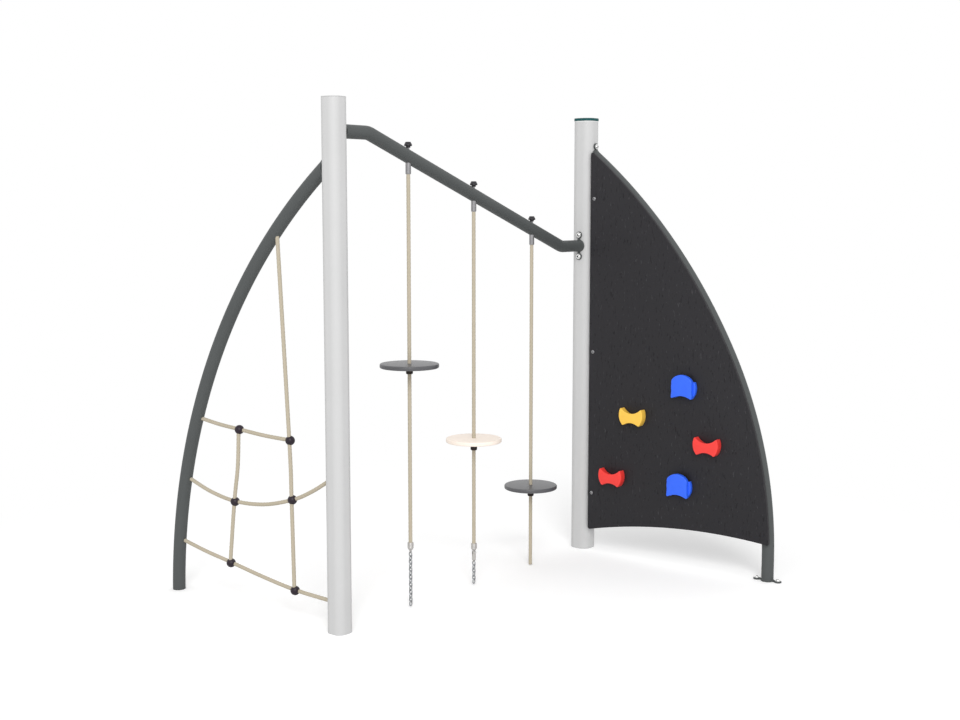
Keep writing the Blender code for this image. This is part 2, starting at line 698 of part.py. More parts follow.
# Rope net
def smooth_route(points, spacing, extend):
    """Even points on a smooth curve through the given ones, lengthened at both ends."""
    knots = [Vector(p) for p in points]
    knots[0] += (knots[0] - knots[1]).normalized() * extend
    knots[-1] += (knots[-1] - knots[-2]).normalized() * extend
    guard = [2 * knots[0] - knots[1]] + knots + [2 * knots[-1] - knots[-2]]
    result = [knots[0]]
    for i in range(1, len(guard) - 2):
        before, start, end, after = guard[i - 1:i + 3]
        steps = max(1, round((end - start).length / spacing))
        for k in range(1, steps + 1):
            t = k / steps
            result.append(0.5 * (2 * start + (end - before) * t
                                 + (2 * before - 5 * start + 4 * end - after) * t ** 2
                                 + (3 * start - before - 3 * end + after) * t ** 3))
    return result


def toward(start, end, length):
    """A point beyond start, away from end, by a length."""
    a, b = Vector(start), Vector(end)
    return a + (a - b).normalized() * length


def net_rope(points, side, radius, extend=0.0):
    offset = Vector((side * NET_ROPE_PLANE, 0.0, 0.0))
    route = [arch_point(*p) + offset for p in points]
    spacing = ROPE_POINT_SPACING * ROPE_DIAMETER
    return rod(smooth_route(route, spacing, extend), radius, ROPE_RING_STEPS)


post_end = front_half - ROPE_END_IN_POST
high_end = toward(NET_HIGH_INNER, NET_HIGH_OUTER, ROPE_END_IN_BALL)
long_foot = toward(NET_LOW_INNER, NET_MID_INNER, ROPE_END_IN_BALL)
short_top = toward(NET_HIGH_OUTER, NET_MID_OUTER, ROPE_END_IN_BALL)
short_foot = toward(NET_LOW_OUTER, NET_MID_OUTER, ROPE_END_IN_BALL)
mid_face = (front_half, NET_MID_ON_POST)
mid_end = toward(mid_face, NET_MID_INNER, ROPE_END_IN_POST)
NET_ROPES = {
    # name: route, side of the net's plane
    "net_upright_long": ([(NET_UPRIGHT_ON_ARCH, net_arch_height(NET_UPRIGHT_ON_ARCH)),
                          NET_HIGH_INNER, NET_MID_INNER, NET_LOW_INNER, long_foot], -1),
    "net_upright_short": ([short_top, NET_HIGH_OUTER, NET_MID_OUTER, NET_LOW_OUTER,
                           short_foot], -1),
    "net_rope_high": ([(net_arch_distance(NET_HIGH_ON_ARCH), NET_HIGH_ON_ARCH),
                       NET_HIGH_OUTER, NET_HIGH_INNER, high_end], 1),
    "net_rope_middle": ([(net_arch_distance(NET_MID_ON_ARCH), NET_MID_ON_ARCH), NET_MID_OUTER,
                         NET_MID_SAG_POINT, NET_MID_INNER, mid_face, mid_end], 1),
    "net_rope_low": ([(net_arch_distance(NET_LOW_ON_ARCH), NET_LOW_ON_ARCH), NET_LOW_OUTER,
                      NET_LOW_INNER, (post_end, NET_LOW_ON_POST)], 1),
}
for name, (points, side) in NET_ROPES.items():
    part(name, net_rope(points, side, rope_radius), "beige_rope", arch_point(*points[0]))
    net_arch = cut(net_arch, net_rope(points, side, rope_radius + SEAT_GAP, SEAT_GAP))
    front_post = cut(front_post, net_rope(points, side, rope_radius + SEAT_GAP, SEAT_GAP))

BALLS = {
    # name: place, upright rope, cross rope
    "net_ball_high_inner": (NET_HIGH_INNER, "net_upright_long", "net_rope_high"),
    "net_ball_high_outer": (NET_HIGH_OUTER, "net_upright_short", "net_rope_high"),
    "net_ball_mid_inner": (NET_MID_INNER, "net_upright_long", "net_rope_middle"),
    "net_ball_mid_outer": (NET_MID_OUTER, "net_upright_short", "net_rope_middle"),
    "net_ball_low_inner": (NET_LOW_INNER, "net_upright_long", "net_rope_low"),
    "net_ball_low_outer": (NET_LOW_OUTER, "net_upright_short", "net_rope_low"),
}
for name, (place, upright, cross) in BALLS.items():
    centre = arch_point(*place)
    bm = bmesh.new()
    bmesh.ops.create_uvsphere(bm, u_segments=14, v_segments=8, radius=BALL_RADIUS)
    bmesh.ops.translate(bm, vec=centre, verts=bm.verts)
    mesh = bpy.data.meshes.new("ball")
    bm.to_mesh(mesh)
    bm.free()
    ball = guide(mesh)
    for rope in (upright, cross):
        points, side = NET_ROPES[rope]
        ball = cut(ball, net_rope(points, side, rope_radius + SEAT_GAP, SEAT_GAP))
    part(name, ball, "black_plastic", centre)
part("net_arch", net_arch, "dark_grey_coating", net_top_face)
part("front_post", front_post, "light_grey_coating", (front_x, line_y, 0.0))

# Panel arch: distances from the post line count towards -Y
lower_centre = Vector((WALL_ARCH_FOOT - WALL_ARCH_LOWER_RADIUS, WALL_ARCH_LEG))
junction_out = Vector((cos(WALL_ARCH_LOWER_SWEEP), sin(WALL_ARCH_LOWER_SWEEP)))
junction = lower_centre + junction_out * WALL_ARCH_LOWER_RADIUS
wall_top = Vector((rear_half + flange_face, wall_top_z))
upper_radius = (wall_top - junction).length ** 2 / (2 * (junction - wall_top).dot(junction_out))
upper_centre = junction - junction_out * upper_radius


def wall_point(distance, height, x=rear_x):
    return Vector((x, line_y - distance, height))


def arch_curve(offset, start, top_turn):
    """The arch's two bends, moved outwards by an offset, from a start angle to a top angle."""
    lower = flat_arc(lower_centre, WALL_ARCH_LOWER_RADIUS + offset, start, WALL_ARCH_LOWER_SWEEP)
    upper = flat_arc(upper_centre, upper_radius + offset, WALL_ARCH_LOWER_SWEEP, top_turn)
    return lower + upper[1:]


def wall_arch_distance(height):
    """Distance of the panel arch's axis from the post line at a height."""
    if height < WALL_ARCH_LEG:
        return WALL_ARCH_FOOT
    centre, radius = lower_centre, WALL_ARCH_LOWER_RADIUS
    if height > junction.y:
        centre, radius = upper_centre, upper_radius
    return centre.x + sqrt(radius ** 2 - (height - centre.y) ** 2)


wall_top_turn = atan2(wall_top.y - upper_centre.y, wall_top.x - upper_centre.x)
wall_slant = pi / 2 - wall_top_turn
flange_bolts("panel_arch", wall_top_face, (0, -1, 0), UP, REAR_POST_WALL, wall_slant)
leg = [(WALL_ARCH_FOOT, FLANGE_THICKNESS / 2)]
bends = arch_curve(0.0, 0.0, wall_top_turn + TUBE_DIAMETER / upper_radius)
panel_arch = pipe([wall_point(y, z) for y, z in leg + bends])
rear_middle = line_y - rear_half - SEAT_GAP - FLANGE_THICKNESS / 2
panel_arch = cut(panel_arch, block((rear_x - reach, rear_middle, wall_top_z - 2 * reach),
                                   (rear_x + reach, line_y + reach, POST_HEIGHT + reach)))
wall_flange = axes((rear_x, line_y - rear_half - SEAT_GAP, wall_top_z), (1, 0, 0), UP)
panel_arch = join(panel_arch, flange(wall_flange, wall_slant))
foot_frame = axes((rear_x, line_y - WALL_ARCH_FOOT, 0.0), (1, 0, 0), (0, 1, 0))
panel_arch = join(panel_arch, flange(foot_frame))
for side, label in ((1, "a"), (-1, "b")):
    foot_seat = (rear_x, line_y - WALL_ARCH_FOOT + side * FLANGE_BOLT_SPACING / 2, FLANGE_THICKNESS)
    bolt("foot_bolt_" + label, foot_seat, UP, FLANGE_THICKNESS)

# Climbing panel, in front of the arch tube, with its lugs and bolts
panel_back_x = rear_x - tube_radius - PANEL_TUBE_GAP
panel_front_x = panel_back_x - PANEL_THICKNESS
lug_front_x = panel_back_x + SEAT_GAP
panel_edge = rear_half + PANEL_POST_GAP
edge_radius = upper_radius + PANEL_OVERHANG
edge_top_z = upper_centre.y + sqrt(edge_radius ** 2 - (panel_edge - upper_centre.x) ** 2)
edge_top_turn = atan2(edge_top_z - upper_centre.y, panel_edge - upper_centre.x)
lower_edge_radius = WALL_ARCH_LOWER_RADIUS + PANEL_OVERHANG
edge_low_turn = asin((PANEL_HIGH_CORNER - lower_centre.y) / lower_edge_radius)
outer_edge = arch_curve(PANEL_OVERHANG, edge_low_turn, edge_top_turn)
low_corner = (panel_edge, PANEL_LOW_CORNER)
hollow_edge = bowed(low_corner, outer_edge[0], PANEL_EDGE_RISE, 8)
panel_outline = hollow_edge[:-1] + outer_edge
corner_radii = [None] * len(panel_outline)
corner_radii[0] = PANEL_LOW_CORNER_RADIUS
corner_radii[len(hollow_edge) - 1] = PANEL_HIGH_CORNER_RADIUS
corner_radii[-1] = PANEL_TOP_CORNER_RADIUS
panel_outline = rounded(panel_outline, corner_radii, True, 3)

top_bolt_z = POST_HEIGHT - PANEL_TOP_BOLT_DROP
low_bolt_z = PANEL_LOW_CORNER + PANEL_LOW_BOLT_RISE
middle_bolt_z = (top_bolt_z + low_bolt_z) / 2 - PANEL_MIDDLE_BOLT_DROP
post_bolts = [(panel_edge + PANEL_BOLT_INSET, z) for z in (top_bolt_z, middle_bolt_z, low_bolt_z)]
arch_bolts = [(wall_arch_distance(z) - ARCH_LUG_REACH, z) for z in ARCH_LUG_HEIGHTS]
small_hole = SMALL_BOLT_DIAMETER / 2 + SEAT_GAP
stud_hole = HOLD_STUD_DIAMETER / 2 + SEAT_GAP
panel_holes = [ring(p, small_hole) for p in post_bolts]
panel_holes += [ring((y, z), stud_hole) for y, z, domed, look in HOLDS.values()]
# local X is the distance towards -Y, local Y is up, and the thickness grows towards -X
panel_frame = axes((panel_back_x, line_y, 0.0), (0, -1, 0), UP)
panel = plate([panel_outline] + panel_holes, PANEL_THICKNESS, panel_frame)
for y, z in arch_bolts:
    entry = wall_point(y, z, panel_back_x + LUG_THICKNESS)
    panel = cut(panel, cylinder(entry, wall_point(y, z, panel_back_x - SMALL_BOLT_BITE - SEAT_GAP),
                                small_hole))
part("climbing_panel", panel, "black_panel", (panel_back_x, line_y - panel_edge, PANEL_LOW_CORNER))


def lug(near, far, height):
    """Welded tab behind the panel, between two distances from the post line."""
    return block((lug_front_x, line_y - far, height - LUG_HEIGHT / 2),
                 (lug_front_x + LUG_THICKNESS, line_y - near, height + LUG_HEIGHT / 2))


def small_bolt(name, seat, outward, length):
    profile = bolt_profile(SMALL_BOLT_DIAMETER / 2, length, SMALL_BOLT_HEAD_RADIUS,
                           SMALL_BOLT_HEAD_HEIGHT, SMALL_WASHER_RADIUS, SMALL_WASHER_THICKNESS)
    turn = Vector((0.0, 0.0, 1.0)).rotation_difference(Vector(outward)).to_matrix().to_4x4()
    lifted = Vector(seat) + Vector(outward) * SEAT_GAP
    part(name, turned(profile, lifted, BOLT_STEPS, frame=turn), "stainless_steel", seat)


for (y, z), label in zip(post_bolts, ("upper", "middle", "lower")):
    rear_post = join(rear_post, lug(rear_half - REAR_POST_WALL - PANEL_POST_GAP, y + LUG_MARGIN, z))
    tapped = wall_point(y, z, lug_front_x - SEAT_GAP)
    rear_post = cut(rear_post, cylinder(tapped, wall_point(y, z, lug_front_x + 2 * LUG_THICKNESS),
                                        small_hole))
    small_bolt("panel_bolt_" + label, wall_point(y, z, panel_front_x), (-1, 0, 0),
               PANEL_THICKNESS + SEAT_GAP + LUG_THICKNESS)
for (y, z), label in zip(arch_bolts, ("lower", "upper")):
    panel_arch = join(panel_arch, lug(y - LUG_MARGIN, wall_arch_distance(z), z))
    panel_arch = cut(panel_arch, cylinder(wall_point(y, z, lug_front_x - LUG_THICKNESS),
                                          wall_point(y, z, lug_front_x + 2 * LUG_THICKNESS),
                                          small_hole))
    small_bolt("panel_back_bolt_" + label, wall_point(y, z, lug_front_x + LUG_THICKNESS), (1, 0, 0),
               LUG_THICKNESS + 2 * SEAT_GAP + SMALL_BOLT_BITE - SEAT_GAP)
rear_post = bolt_holes(rear_post, bar_rear_face, (-1, 0, 0), UP, rear_depth)
rear_post = bolt_holes(rear_post, wall_top_face, (0, -1, 0), UP, rear_depth, wall_slant)
part("rear_post", rear_post, "light_grey_coating", (rear_x, line_y, 0.0))
part("panel_arch", panel_arch, "dark_grey_coating", wall_top_face)


# Climbing holds
def hold_outline(domed):
    """Bow-tie block: bulging sides, hollow top and foot; a domed one is full at the top."""
    top_left = (-HOLD_TOP_HALF_WIDTH, HOLD_HALF_HEIGHT)
    top_right = (HOLD_TOP_HALF_WIDTH, HOLD_HALF_HEIGHT)
    foot_left = (-HOLD_FOOT_HALF_WIDTH, -HOLD_HALF_HEIGHT)
    foot_right = (HOLD_FOOT_HALF_WIDTH, -HOLD_HALF_HEIGHT)
    top_rise = HOLD_DOME_RISE if domed else -HOLD_TOP_HOLLOW
    outline = bowed(top_left, top_right, top_rise, 8)[:-1]
    outline += bowed(top_right, foot_right, HOLD_SIDE_BULGE, 6)[:-1]
    outline += bowed(foot_right, foot_left, -HOLD_FOOT_HOLLOW, 7)[:-1]
    outline += bowed(foot_left, top_left, HOLD_SIDE_BULGE, 6)[:-1]
    return outline


for name, (y, z, domed, look) in HOLDS.items():
    seat = wall_point(y, z, panel_front_x - SEAT_GAP)
    body = plate([hold_outline(domed)], HOLD_DEPTH, axes(seat, (0, -1, 0), UP))
    bevel = body.modifiers.new("round edges", "BEVEL")
    bevel.width = HOLD_EDGE_ROUND
    bevel.segments = 1
    bevel.limit_method = "ANGLE"
    bevel.angle_limit = radians(40)
    body = solid(body)
    stud_end = wall_point(y, z, panel_back_x + HOLD_STUD_PROUD)
    stud = cylinder(wall_point(y, z, panel_front_x - HOLD_DEPTH / 2), stud_end,
                    HOLD_STUD_DIAMETER / 2)
    part(name, join(body, stud), look, seat)


# Hanging ropes with their discs and collars
link_inner_length = LINK_PITCH - LINK_BITE
eye_z = []
for links in CHAIN_LINKS:
    lowest = link_inner_length + 1.5 * LINK_WIRE
    eye_z.append(FLOOR_GAP + lowest + (links - 1) * LINK_PITCH)
sleeve_z = [eye_z[0] + EYE_BELOW_SLEEVE, eye_z[1] + CONNECTOR_LENGTH + EYE_BELOW_SLEEVE]
rope_foot = [sleeve + SLEEVE_HEIGHT - SLEEVE_BORE_DEPTH + SEAT_GAP for sleeve in sleeve_z]
rope_foot.append(FLOOR_GAP)
bore = rope_radius + SEAT_GAP
for number, (x, mouth, foot, disc_top) in enumerate(zip(rope_x, mouth_z, rope_foot, DISC_TOPS), 1):
    pivot = (x, line_y, mouth)
    hang = (x, line_y, 0.0)
    rope_top = mouth - SWAY_GAP
    part("hanging_rope_%d" % number, cylinder((x, line_y, foot), (x, line_y, rope_top),
                                              rope_radius, ROUND_STEPS), "beige_rope", pivot)
    disc_low = disc_top - DISC_THICKNESS
    inner = rope_radius + DISC_RUNNING_GAP
    corner = DISC_RADIUS - DISC_EDGE_ROUND
    rim = arc((corner, disc_top - DISC_EDGE_ROUND), DISC_EDGE_ROUND, pi / 2, 0.0, 2)
    rim += arc((corner, disc_low + DISC_EDGE_ROUND), DISC_EDGE_ROUND, 0.0, -pi / 2, 2)
    disc = [(inner, disc_top)] + rim + [(inner, disc_low)]
    look = "cream_rubber" if number == 2 else "grey_rubber"
    part("step_disc_%d" % number, turned(disc, hang, DISC_STEPS, True), look,
         (x, line_y, disc_top))
    collar_top = disc_low - SEAT_GAP
    collar_low = collar_top - COLLAR_HEIGHT
    collar = [
        (bore, collar_top), (COLLAR_RADIUS, collar_top), (COLLAR_RADIUS, collar_low + COLLAR_CHAMFER),
        (COLLAR_RADIUS - COLLAR_CHAMFER, collar_low), (bore, collar_low),
    ]
    part("disc_collar_%d" % number, turned(collar, hang, closed=True), "black_plastic", pivot)


# Lower sleeves, chains and the connector of the second rope
def eye_plate(x, centre_z, top_z, hole_radius):
    """Flat tab in the bar's plane with a cross hole, rising to top_z."""
    half = EYE_PLATE_WIDTH / 2
    outline = [(half, top_z - centre_z), (-half, top_z - centre_z)]
    outline += arc((0.0, 0.0), half, pi, 2 * pi, 6)
    frame = axes((x, line_y + EYE_PLATE_THICKNESS / 2, centre_z), (1, 0, 0), UP)
    return plate([outline, ring((0.0, 0.0), hole_radius, 10)], EYE_PLATE_THICKNESS, frame)


def sleeve(number, x, low, eye_height, hole_radius):
    """Swaged sleeve at the rope's foot, with an eye below."""
    top = low + SLEEVE_HEIGHT
    bore_low = top - SLEEVE_BORE_DEPTH
    grooved = SLEEVE_RADIUS - SLEEVE_GROOVE
    profile = [(0.0, bore_low), (bore, bore_low), (bore, top), (grooved, top)]
    band_pitch = SLEEVE_BORE_DEPTH / SLEEVE_BANDS
    for k in range(SLEEVE_BANDS):
        band_top = top - SLEEVE_GROOVE - k * band_pitch
        band_low = band_top - band_pitch + 2 * SLEEVE_GROOVE
        profile += [(SLEEVE_RADIUS, band_top), (SLEEVE_RADIUS, band_low),
                    (grooved, band_low - SLEEVE_GROOVE)]
    profile += [(rope_radius, low), (0.0, low)]
    body = turned(profile, (x, line_y, 0.0))
    body = join(body, eye_plate(x, eye_height, low + EYE_PLATE_THICKNESS / 2, hole_radius))
    part("rope_sleeve_%d" % number, body, "swaged_aluminium", (x, line_y, mouth_z[number - 1]))


def link_route(x, centre_z, turned_link):
    """Oblong ring of wire about its centre, in the XZ plane or the YZ plane."""
    bend = (LINK_INNER_WIDTH + LINK_WIRE) / 2
    straight = (link_inner_length + LINK_WIRE) / 2 - bend
    upper = arc((0.0, straight), bend, 0.0, pi, LINK_STEPS)
    lower = arc((0.0, -straight), bend, pi, 2 * pi, LINK_STEPS)
    if turned_link:
        return [(x, line_y + a, centre_z + b) for a, b in upper + lower]
    return [(x + a, line_y, centre_z + b) for a, b in upper + lower]


def chain(x, first_eye, links):
    """Links joined where they bear on each other, alternate links a quarter turn round."""
    half_link = (link_inner_length + LINK_WIRE) / 2
    body = None
    for k in range(links):
        centre_z = first_eye - half_link - k * LINK_PITCH
        ring_body = rod(link_route(x, centre_z, k % 2 == 0), LINK_WIRE / 2, LINK_RING_STEPS, cyclic=True)
        body = ring_body if body is None else join(body, ring_body)
    return body


wire_hole = LINK_WIRE / 2 + EYE_HOLE_GAP
pin_hole = PIN_RADIUS + SEAT_GAP
pin_z = eye_z[1] + CONNECTOR_LENGTH
sleeve(1, rope_x[0], sleeve_z[0], eye_z[0], wire_hole)
sleeve(2, rope_x[1], sleeve_z[1], pin_z, pin_hole)
part("chain_1", chain(rope_x[0], eye_z[0], CHAIN_LINKS[0]), "galvanised_steel",
     (rope_x[0], line_y, eye_z[0]))
part("chain_2", chain(rope_x[1], eye_z[1], CHAIN_LINKS[1]), "galvanised_steel",
     (rope_x[1], line_y, pin_z))

connector_x = rope_x[1]
connector_top = pin_z + CONNECTOR_TOP_ABOVE_PIN
connector_low = eye_z[1] + wire_hole + EYE_HOLE_GAP
connector = cylinder((connector_x, line_y, connector_low), (connector_x, line_y, connector_top),
                     CONNECTOR_RADIUS, ROUND_STEPS)
slot_half = EYE_PLATE_THICKNESS / 2 + EYE_HOLE_GAP
slot_low = pin_z - EYE_PLATE_WIDTH / 2 - EYE_HOLE_GAP
connector = cut(connector, block((connector_x - 2 * CONNECTOR_RADIUS, line_y - slot_half, slot_low),
                                 (connector_x + 2 * CONNECTOR_RADIUS, line_y + slot_half,
                                  connector_top + CONNECTOR_RADIUS)))
connector = join(connector, eye_plate(connector_x, eye_z[1], connector_low + EYE_PLATE_THICKNESS,
                                      wire_hole))
pin_reach = CONNECTOR_RADIUS + SEAT_GAP
connector = cut(connector, cylinder((connector_x, line_y - 2 * pin_reach, pin_z),
                                    (connector_x, line_y + 2 * pin_reach, pin_z), pin_hole))
part("chain_connector", connector, "galvanised_steel", (connector_x, line_y, pin_z))
pin_profile = [
    (0.0, PIN_HEAD_HEIGHT), (PIN_HEAD_RADIUS, PIN_HEAD_HEIGHT), (PIN_HEAD_RADIUS, 0.0),
    (PIN_RADIUS, 0.0), (PIN_RADIUS, -2 * pin_reach - PIN_HEAD_HEIGHT),
    (0.0, -2 * pin_reach - PIN_HEAD_HEIGHT),
]
pin_turn = Matrix.Rotation(pi / 2, 4, "X")
part("connector_pin", turned(pin_profile, (connector_x, line_y - pin_reach, pin_z), BOLT_STEPS,
                             frame=pin_turn), "stainless_steel", (connector_x, line_y, pin_z))

for shape in list(bpy.data.curves):
    bpy.data.curves.remove(shape)
for mesh in list(bpy.data.meshes):
    if mesh.users == 0:
        bpy.data.meshes.remove(mesh)
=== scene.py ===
"""Outdoor climbing gym: two posts with a sloping crossbar and three disc ropes, a rope net
under one bent arch, and a climbing panel with five holds on the other.
"""

from math import asin, atan2, ceil, copysign, cos, pi, radians, sin, sqrt, tan

import bmesh
import bpy
from mathutils import Matrix, Vector


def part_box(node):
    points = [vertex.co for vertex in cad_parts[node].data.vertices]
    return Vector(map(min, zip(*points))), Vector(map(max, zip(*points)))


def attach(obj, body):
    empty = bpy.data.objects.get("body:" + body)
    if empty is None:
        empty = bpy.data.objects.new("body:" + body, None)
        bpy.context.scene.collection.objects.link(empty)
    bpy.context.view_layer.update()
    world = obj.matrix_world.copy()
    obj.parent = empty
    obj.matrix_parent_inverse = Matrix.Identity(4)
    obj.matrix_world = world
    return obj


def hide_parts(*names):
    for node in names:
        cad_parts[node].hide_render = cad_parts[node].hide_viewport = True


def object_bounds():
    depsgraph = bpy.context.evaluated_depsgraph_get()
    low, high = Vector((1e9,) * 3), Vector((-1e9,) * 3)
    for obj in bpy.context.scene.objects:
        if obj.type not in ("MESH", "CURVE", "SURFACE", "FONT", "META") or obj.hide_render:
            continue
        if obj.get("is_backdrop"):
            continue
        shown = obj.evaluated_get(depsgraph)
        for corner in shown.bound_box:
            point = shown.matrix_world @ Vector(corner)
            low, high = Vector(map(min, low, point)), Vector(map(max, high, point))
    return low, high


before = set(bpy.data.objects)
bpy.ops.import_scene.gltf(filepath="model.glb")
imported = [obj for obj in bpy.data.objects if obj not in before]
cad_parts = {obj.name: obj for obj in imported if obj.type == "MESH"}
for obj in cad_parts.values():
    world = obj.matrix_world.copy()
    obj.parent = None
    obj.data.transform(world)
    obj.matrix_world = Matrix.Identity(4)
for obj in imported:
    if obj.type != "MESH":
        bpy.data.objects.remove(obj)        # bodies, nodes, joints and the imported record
cad_low, cad_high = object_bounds()

# Camera
# It stands where the photograph was taken from: well to the left in front of the posts,
# below the crossbar's height, with a slightly long lens.
CAMERA_PLACE = (-5.04855, -3.97178, 1.8554)
CAMERA_TILT = 83.379       # degrees up from straight down
CAMERA_TURN = -51.775      # degrees about Z, from looking along +Y
FOCAL_LENGTH = 50.495      # millimetres, as is the sensor's width
SENSOR_WIDTH = 36.0

lens = bpy.data.cameras.new("photo_camera")
lens.sensor_width = SENSOR_WIDTH
lens.lens = FOCAL_LENGTH
camera = bpy.data.objects.new("photo_camera", lens)
camera.location = CAMERA_PLACE
camera.rotation_euler = (radians(CAMERA_TILT), 0.0, radians(CAMERA_TURN))
bpy.context.scene.collection.objects.link(camera)
bpy.context.scene.camera = camera

# Hanging ropes
# Six strands laid round a steel core and covered with beige polyamide yarn, which gives a matt,
# finely ribbed skin. The first two end in a swaged sleeve, and the third is cut off plain.
ROPE_DIAMETER = 0.018
STRANDS = 6
STRAND_SHARE = 0.30        # a strand's radius over the rope's diameter
STRAND_POINTS = 5          # of each strand's outline
LAY_LENGTH = 0.115         # of rope to one turn of a strand
ROPE_STEP = 0.004          # between the rings of the rope's skin
YARN_PITCH = 0.0016        # a little coarser than real yarn, so that it shows
ROPE_PATCH = 0.060         # length over which the colour drifts
# Painted shade: the yarn's grooves are darkened by up to this share of a dark tone.
YARN_SHADE = 0.30          # of the dark tone at most in the yarn's grooves
WAVE_PERIOD = 2 * pi / 20  # of a wave texture at scale 1
ROPE_CREASE = radians(50)  # edges of the rope's skin that turn more stay sharp
MERGE_DISTANCE = 0.00001   # vertices that are closer become one


def linear(code):
    """Linear colour of a six-digit sRGB hex code."""
    levels = [int(code[i:i + 2], 16) / 255 for i in (0, 2, 4)]
    return [v / 12.92 if v <= 0.04045 else ((v + 0.055) / 1.055) ** 2.4 for v in levels] + [1.0]


def add_node(material, kind, sockets=None, links=None, **settings):
    """Add a node with its settings, its sockets' values and the outputs linked to them.

    A socket goes by its identifier, or by its name where that is enough.
    """
    def find(group, key):
        """The socket of a group that a key names."""
        return next(s for s in group if key in (s.identifier, s.name))

    node = material.node_tree.nodes.new(kind)
    for setting, value in settings.items():
        setattr(node, setting, value)
    for key, value in (sockets or {}).items():
        find(node.inputs, key).default_value = value
    for key, (source, output) in (links or {}).items():
        material.node_tree.links.new(find(source.outputs, output), find(node.inputs, key))
    return node


def blank_material(name):
    """A new material without any node."""
    material = bpy.data.materials.new(name)
    material.use_nodes = True
    material.node_tree.nodes.clear()
    return material


def close_material(material, sockets, links):
    """Give a material its shader, and return the material."""
    shader = add_node(material, "ShaderNodeBsdfPrincipled", sockets, links)
    add_node(material, "ShaderNodeOutputMaterial", {}, {"Surface": (shader, "BSDF")})
    return material


def make_rope_yarn():
    """Beige yarn: fine ribs along the rope across the strands' twist, in two drifting tones, with
    painted shade in the grooves.
    """
    material = blank_material("yarn_covered_rope")
    surface = add_node(material, "ShaderNodeTexCoord")
    lean = atan2(pi * ROPE_DIAMETER, LAY_LENGTH)
    turned = add_node(material, "ShaderNodeMapping", {"Rotation": (0.0, 0.0, lean)},
                      {"Vector": (surface, "UV")})
    yarn = add_node(material, "ShaderNodeTexWave",
                    {"Scale": WAVE_PERIOD / YARN_PITCH, "Distortion": 0.8, "Detail": 1.0},
                    {"Vector": (turned, "Vector")}, bands_direction="X")
    drift = add_node(material, "ShaderNodeTexNoise", {"Scale": 1 / ROPE_PATCH, "Detail": 1.0},
                     {"Vector": (surface, "Object")})
    tone = add_node(material, "ShaderNodeMix",
                    {"A_Color": linear("bdb59e"), "B_Color": linear("c6baa8")},
                    {"Factor_Float": (drift, "Fac")}, data_type="RGBA")
    # Painted shade: the grooves between the ribs are darkened towards a dark tone.
    share = add_node(material, "ShaderNodeMapRange", {"To Min": 0.0, "To Max": YARN_SHADE},
                     {"Value": (yarn, "Fac")})
    ribs_with_painted_shade = add_node(material, "ShaderNodeMix", {"B_Color": linear("958c7d")},
                      {"A_Color": (tone, "Result_Color"), "Factor_Float": (share, "Result")},
                      data_type="RGBA")
    bump = add_node(material, "ShaderNodeBump", {"Strength": 0.5, "Distance": 0.0003},
                    {"Height": (yarn, "Fac")})
    return close_material(material, {"Roughness": 0.85, "Specular IOR Level": 0.3},
                          {"Base Color": (ribs_with_painted_shade, "Result_Color"), "Normal": (bump, "Normal")})


rope_yarn = make_rope_yarn()
rope_radius = ROPE_DIAMETER / 2


def strand_outline():
    """Curve of the rope's section, six lobes, for the rope's skin to follow."""
    curve = bpy.data.curves.new("strand_outline", "CURVE")
    spline = curve.splines.new("POLY")
    spline.points.add(STRANDS * STRAND_POINTS - 1)
    spline.use_cyclic_u = True
    strand = STRAND_SHARE * ROPE_DIAMETER
    out = rope_radius - strand
    for i, control in enumerate(spline.points):
        lobe, step = divmod(i, STRAND_POINTS)
        off = (step / STRAND_POINTS - 0.5) * 2 * pi / STRANDS
        reach = out * cos(off) + sqrt(strand ** 2 - (out * sin(off)) ** 2)
        turn = lobe * 2 * pi / STRANDS + off
        control.co = (reach * cos(turn), reach * sin(turn), 0.0, 1.0)
    outline = bpy.data.objects.new("strand_outline", curve)
    bpy.context.scene.collection.objects.link(outline)
    return outline


def laid_rope(name, points):
    """Rope skin along close points, with a UV map in metres: round the rope, and along it."""
    curve = bpy.data.curves.new(name, "CURVE")
    curve.dimensions = "3D"
    curve.bevel_mode = "OBJECT"
    curve.bevel_object = strand_outline()
    curve.use_fill_caps = True
    spline = curve.splines.new("POLY")
    spline.points.add(len(points) - 1)
    length = 0.0
    for i, (control, point) in enumerate(zip(spline.points, points)):
        length += (point - points[max(i - 1, 0)]).length
        control.co = (*point, 1.0)
        control.tilt = 2 * pi * length / LAY_LENGTH
    line = bpy.data.objects.new(name + "_line", curve)
    bpy.context.scene.collection.objects.link(line)
    bpy.context.view_layer.update()
    graph = bpy.context.evaluated_depsgraph_get()
    mesh = bpy.data.meshes.new_from_object(line.evaluated_get(graph))
    bpy.data.objects.remove(curve.bevel_object)
    bpy.data.objects.remove(line)
    for loop in mesh.uv_layers[0].uv:
        loop.vector = (loop.vector.y * pi * ROPE_DIAMETER, loop.vector.x * length)
    bm = bmesh.new()
    bm.from_mesh(mesh)
    bmesh.ops.remove_doubles(bm, verts=bm.verts, dist=MERGE_DISTANCE)
    bmesh.ops.recalc_face_normals(bm, faces=bm.faces)
    bm.to_mesh(mesh)
    bm.free()
    mesh.materials.append(rope_yarn)
    mesh.shade_smooth()
    mesh.set_sharp_from_angle(angle=ROPE_CREASE)
    rope = bpy.data.objects.new(name, mesh)
    bpy.context.scene.collection.objects.link(rope)
    return rope, length


def box_middle(name):
    """The middle of a node's CAD box."""
    low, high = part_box(name)
    return (low + high) / 2


for number, far_end in ((1, "fitting"), (2, "fitting"), (3, "bare")):
    node = "hanging_rope_%d" % number
    low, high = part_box(node)
    middle = box_middle(node)
    foot = Vector((middle.x, middle.y, low.z))
    top = Vector((middle.x, middle.y, high.z))
    steps = round((top - foot).length / ROPE_STEP)
    line = [top.lerp(foot, k / steps) for k in range(steps + 1)]
    rope, length = laid_rope("disc_rope_%d" % number, line)
    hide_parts(node)
    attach(rope, "rope_%d" % number)

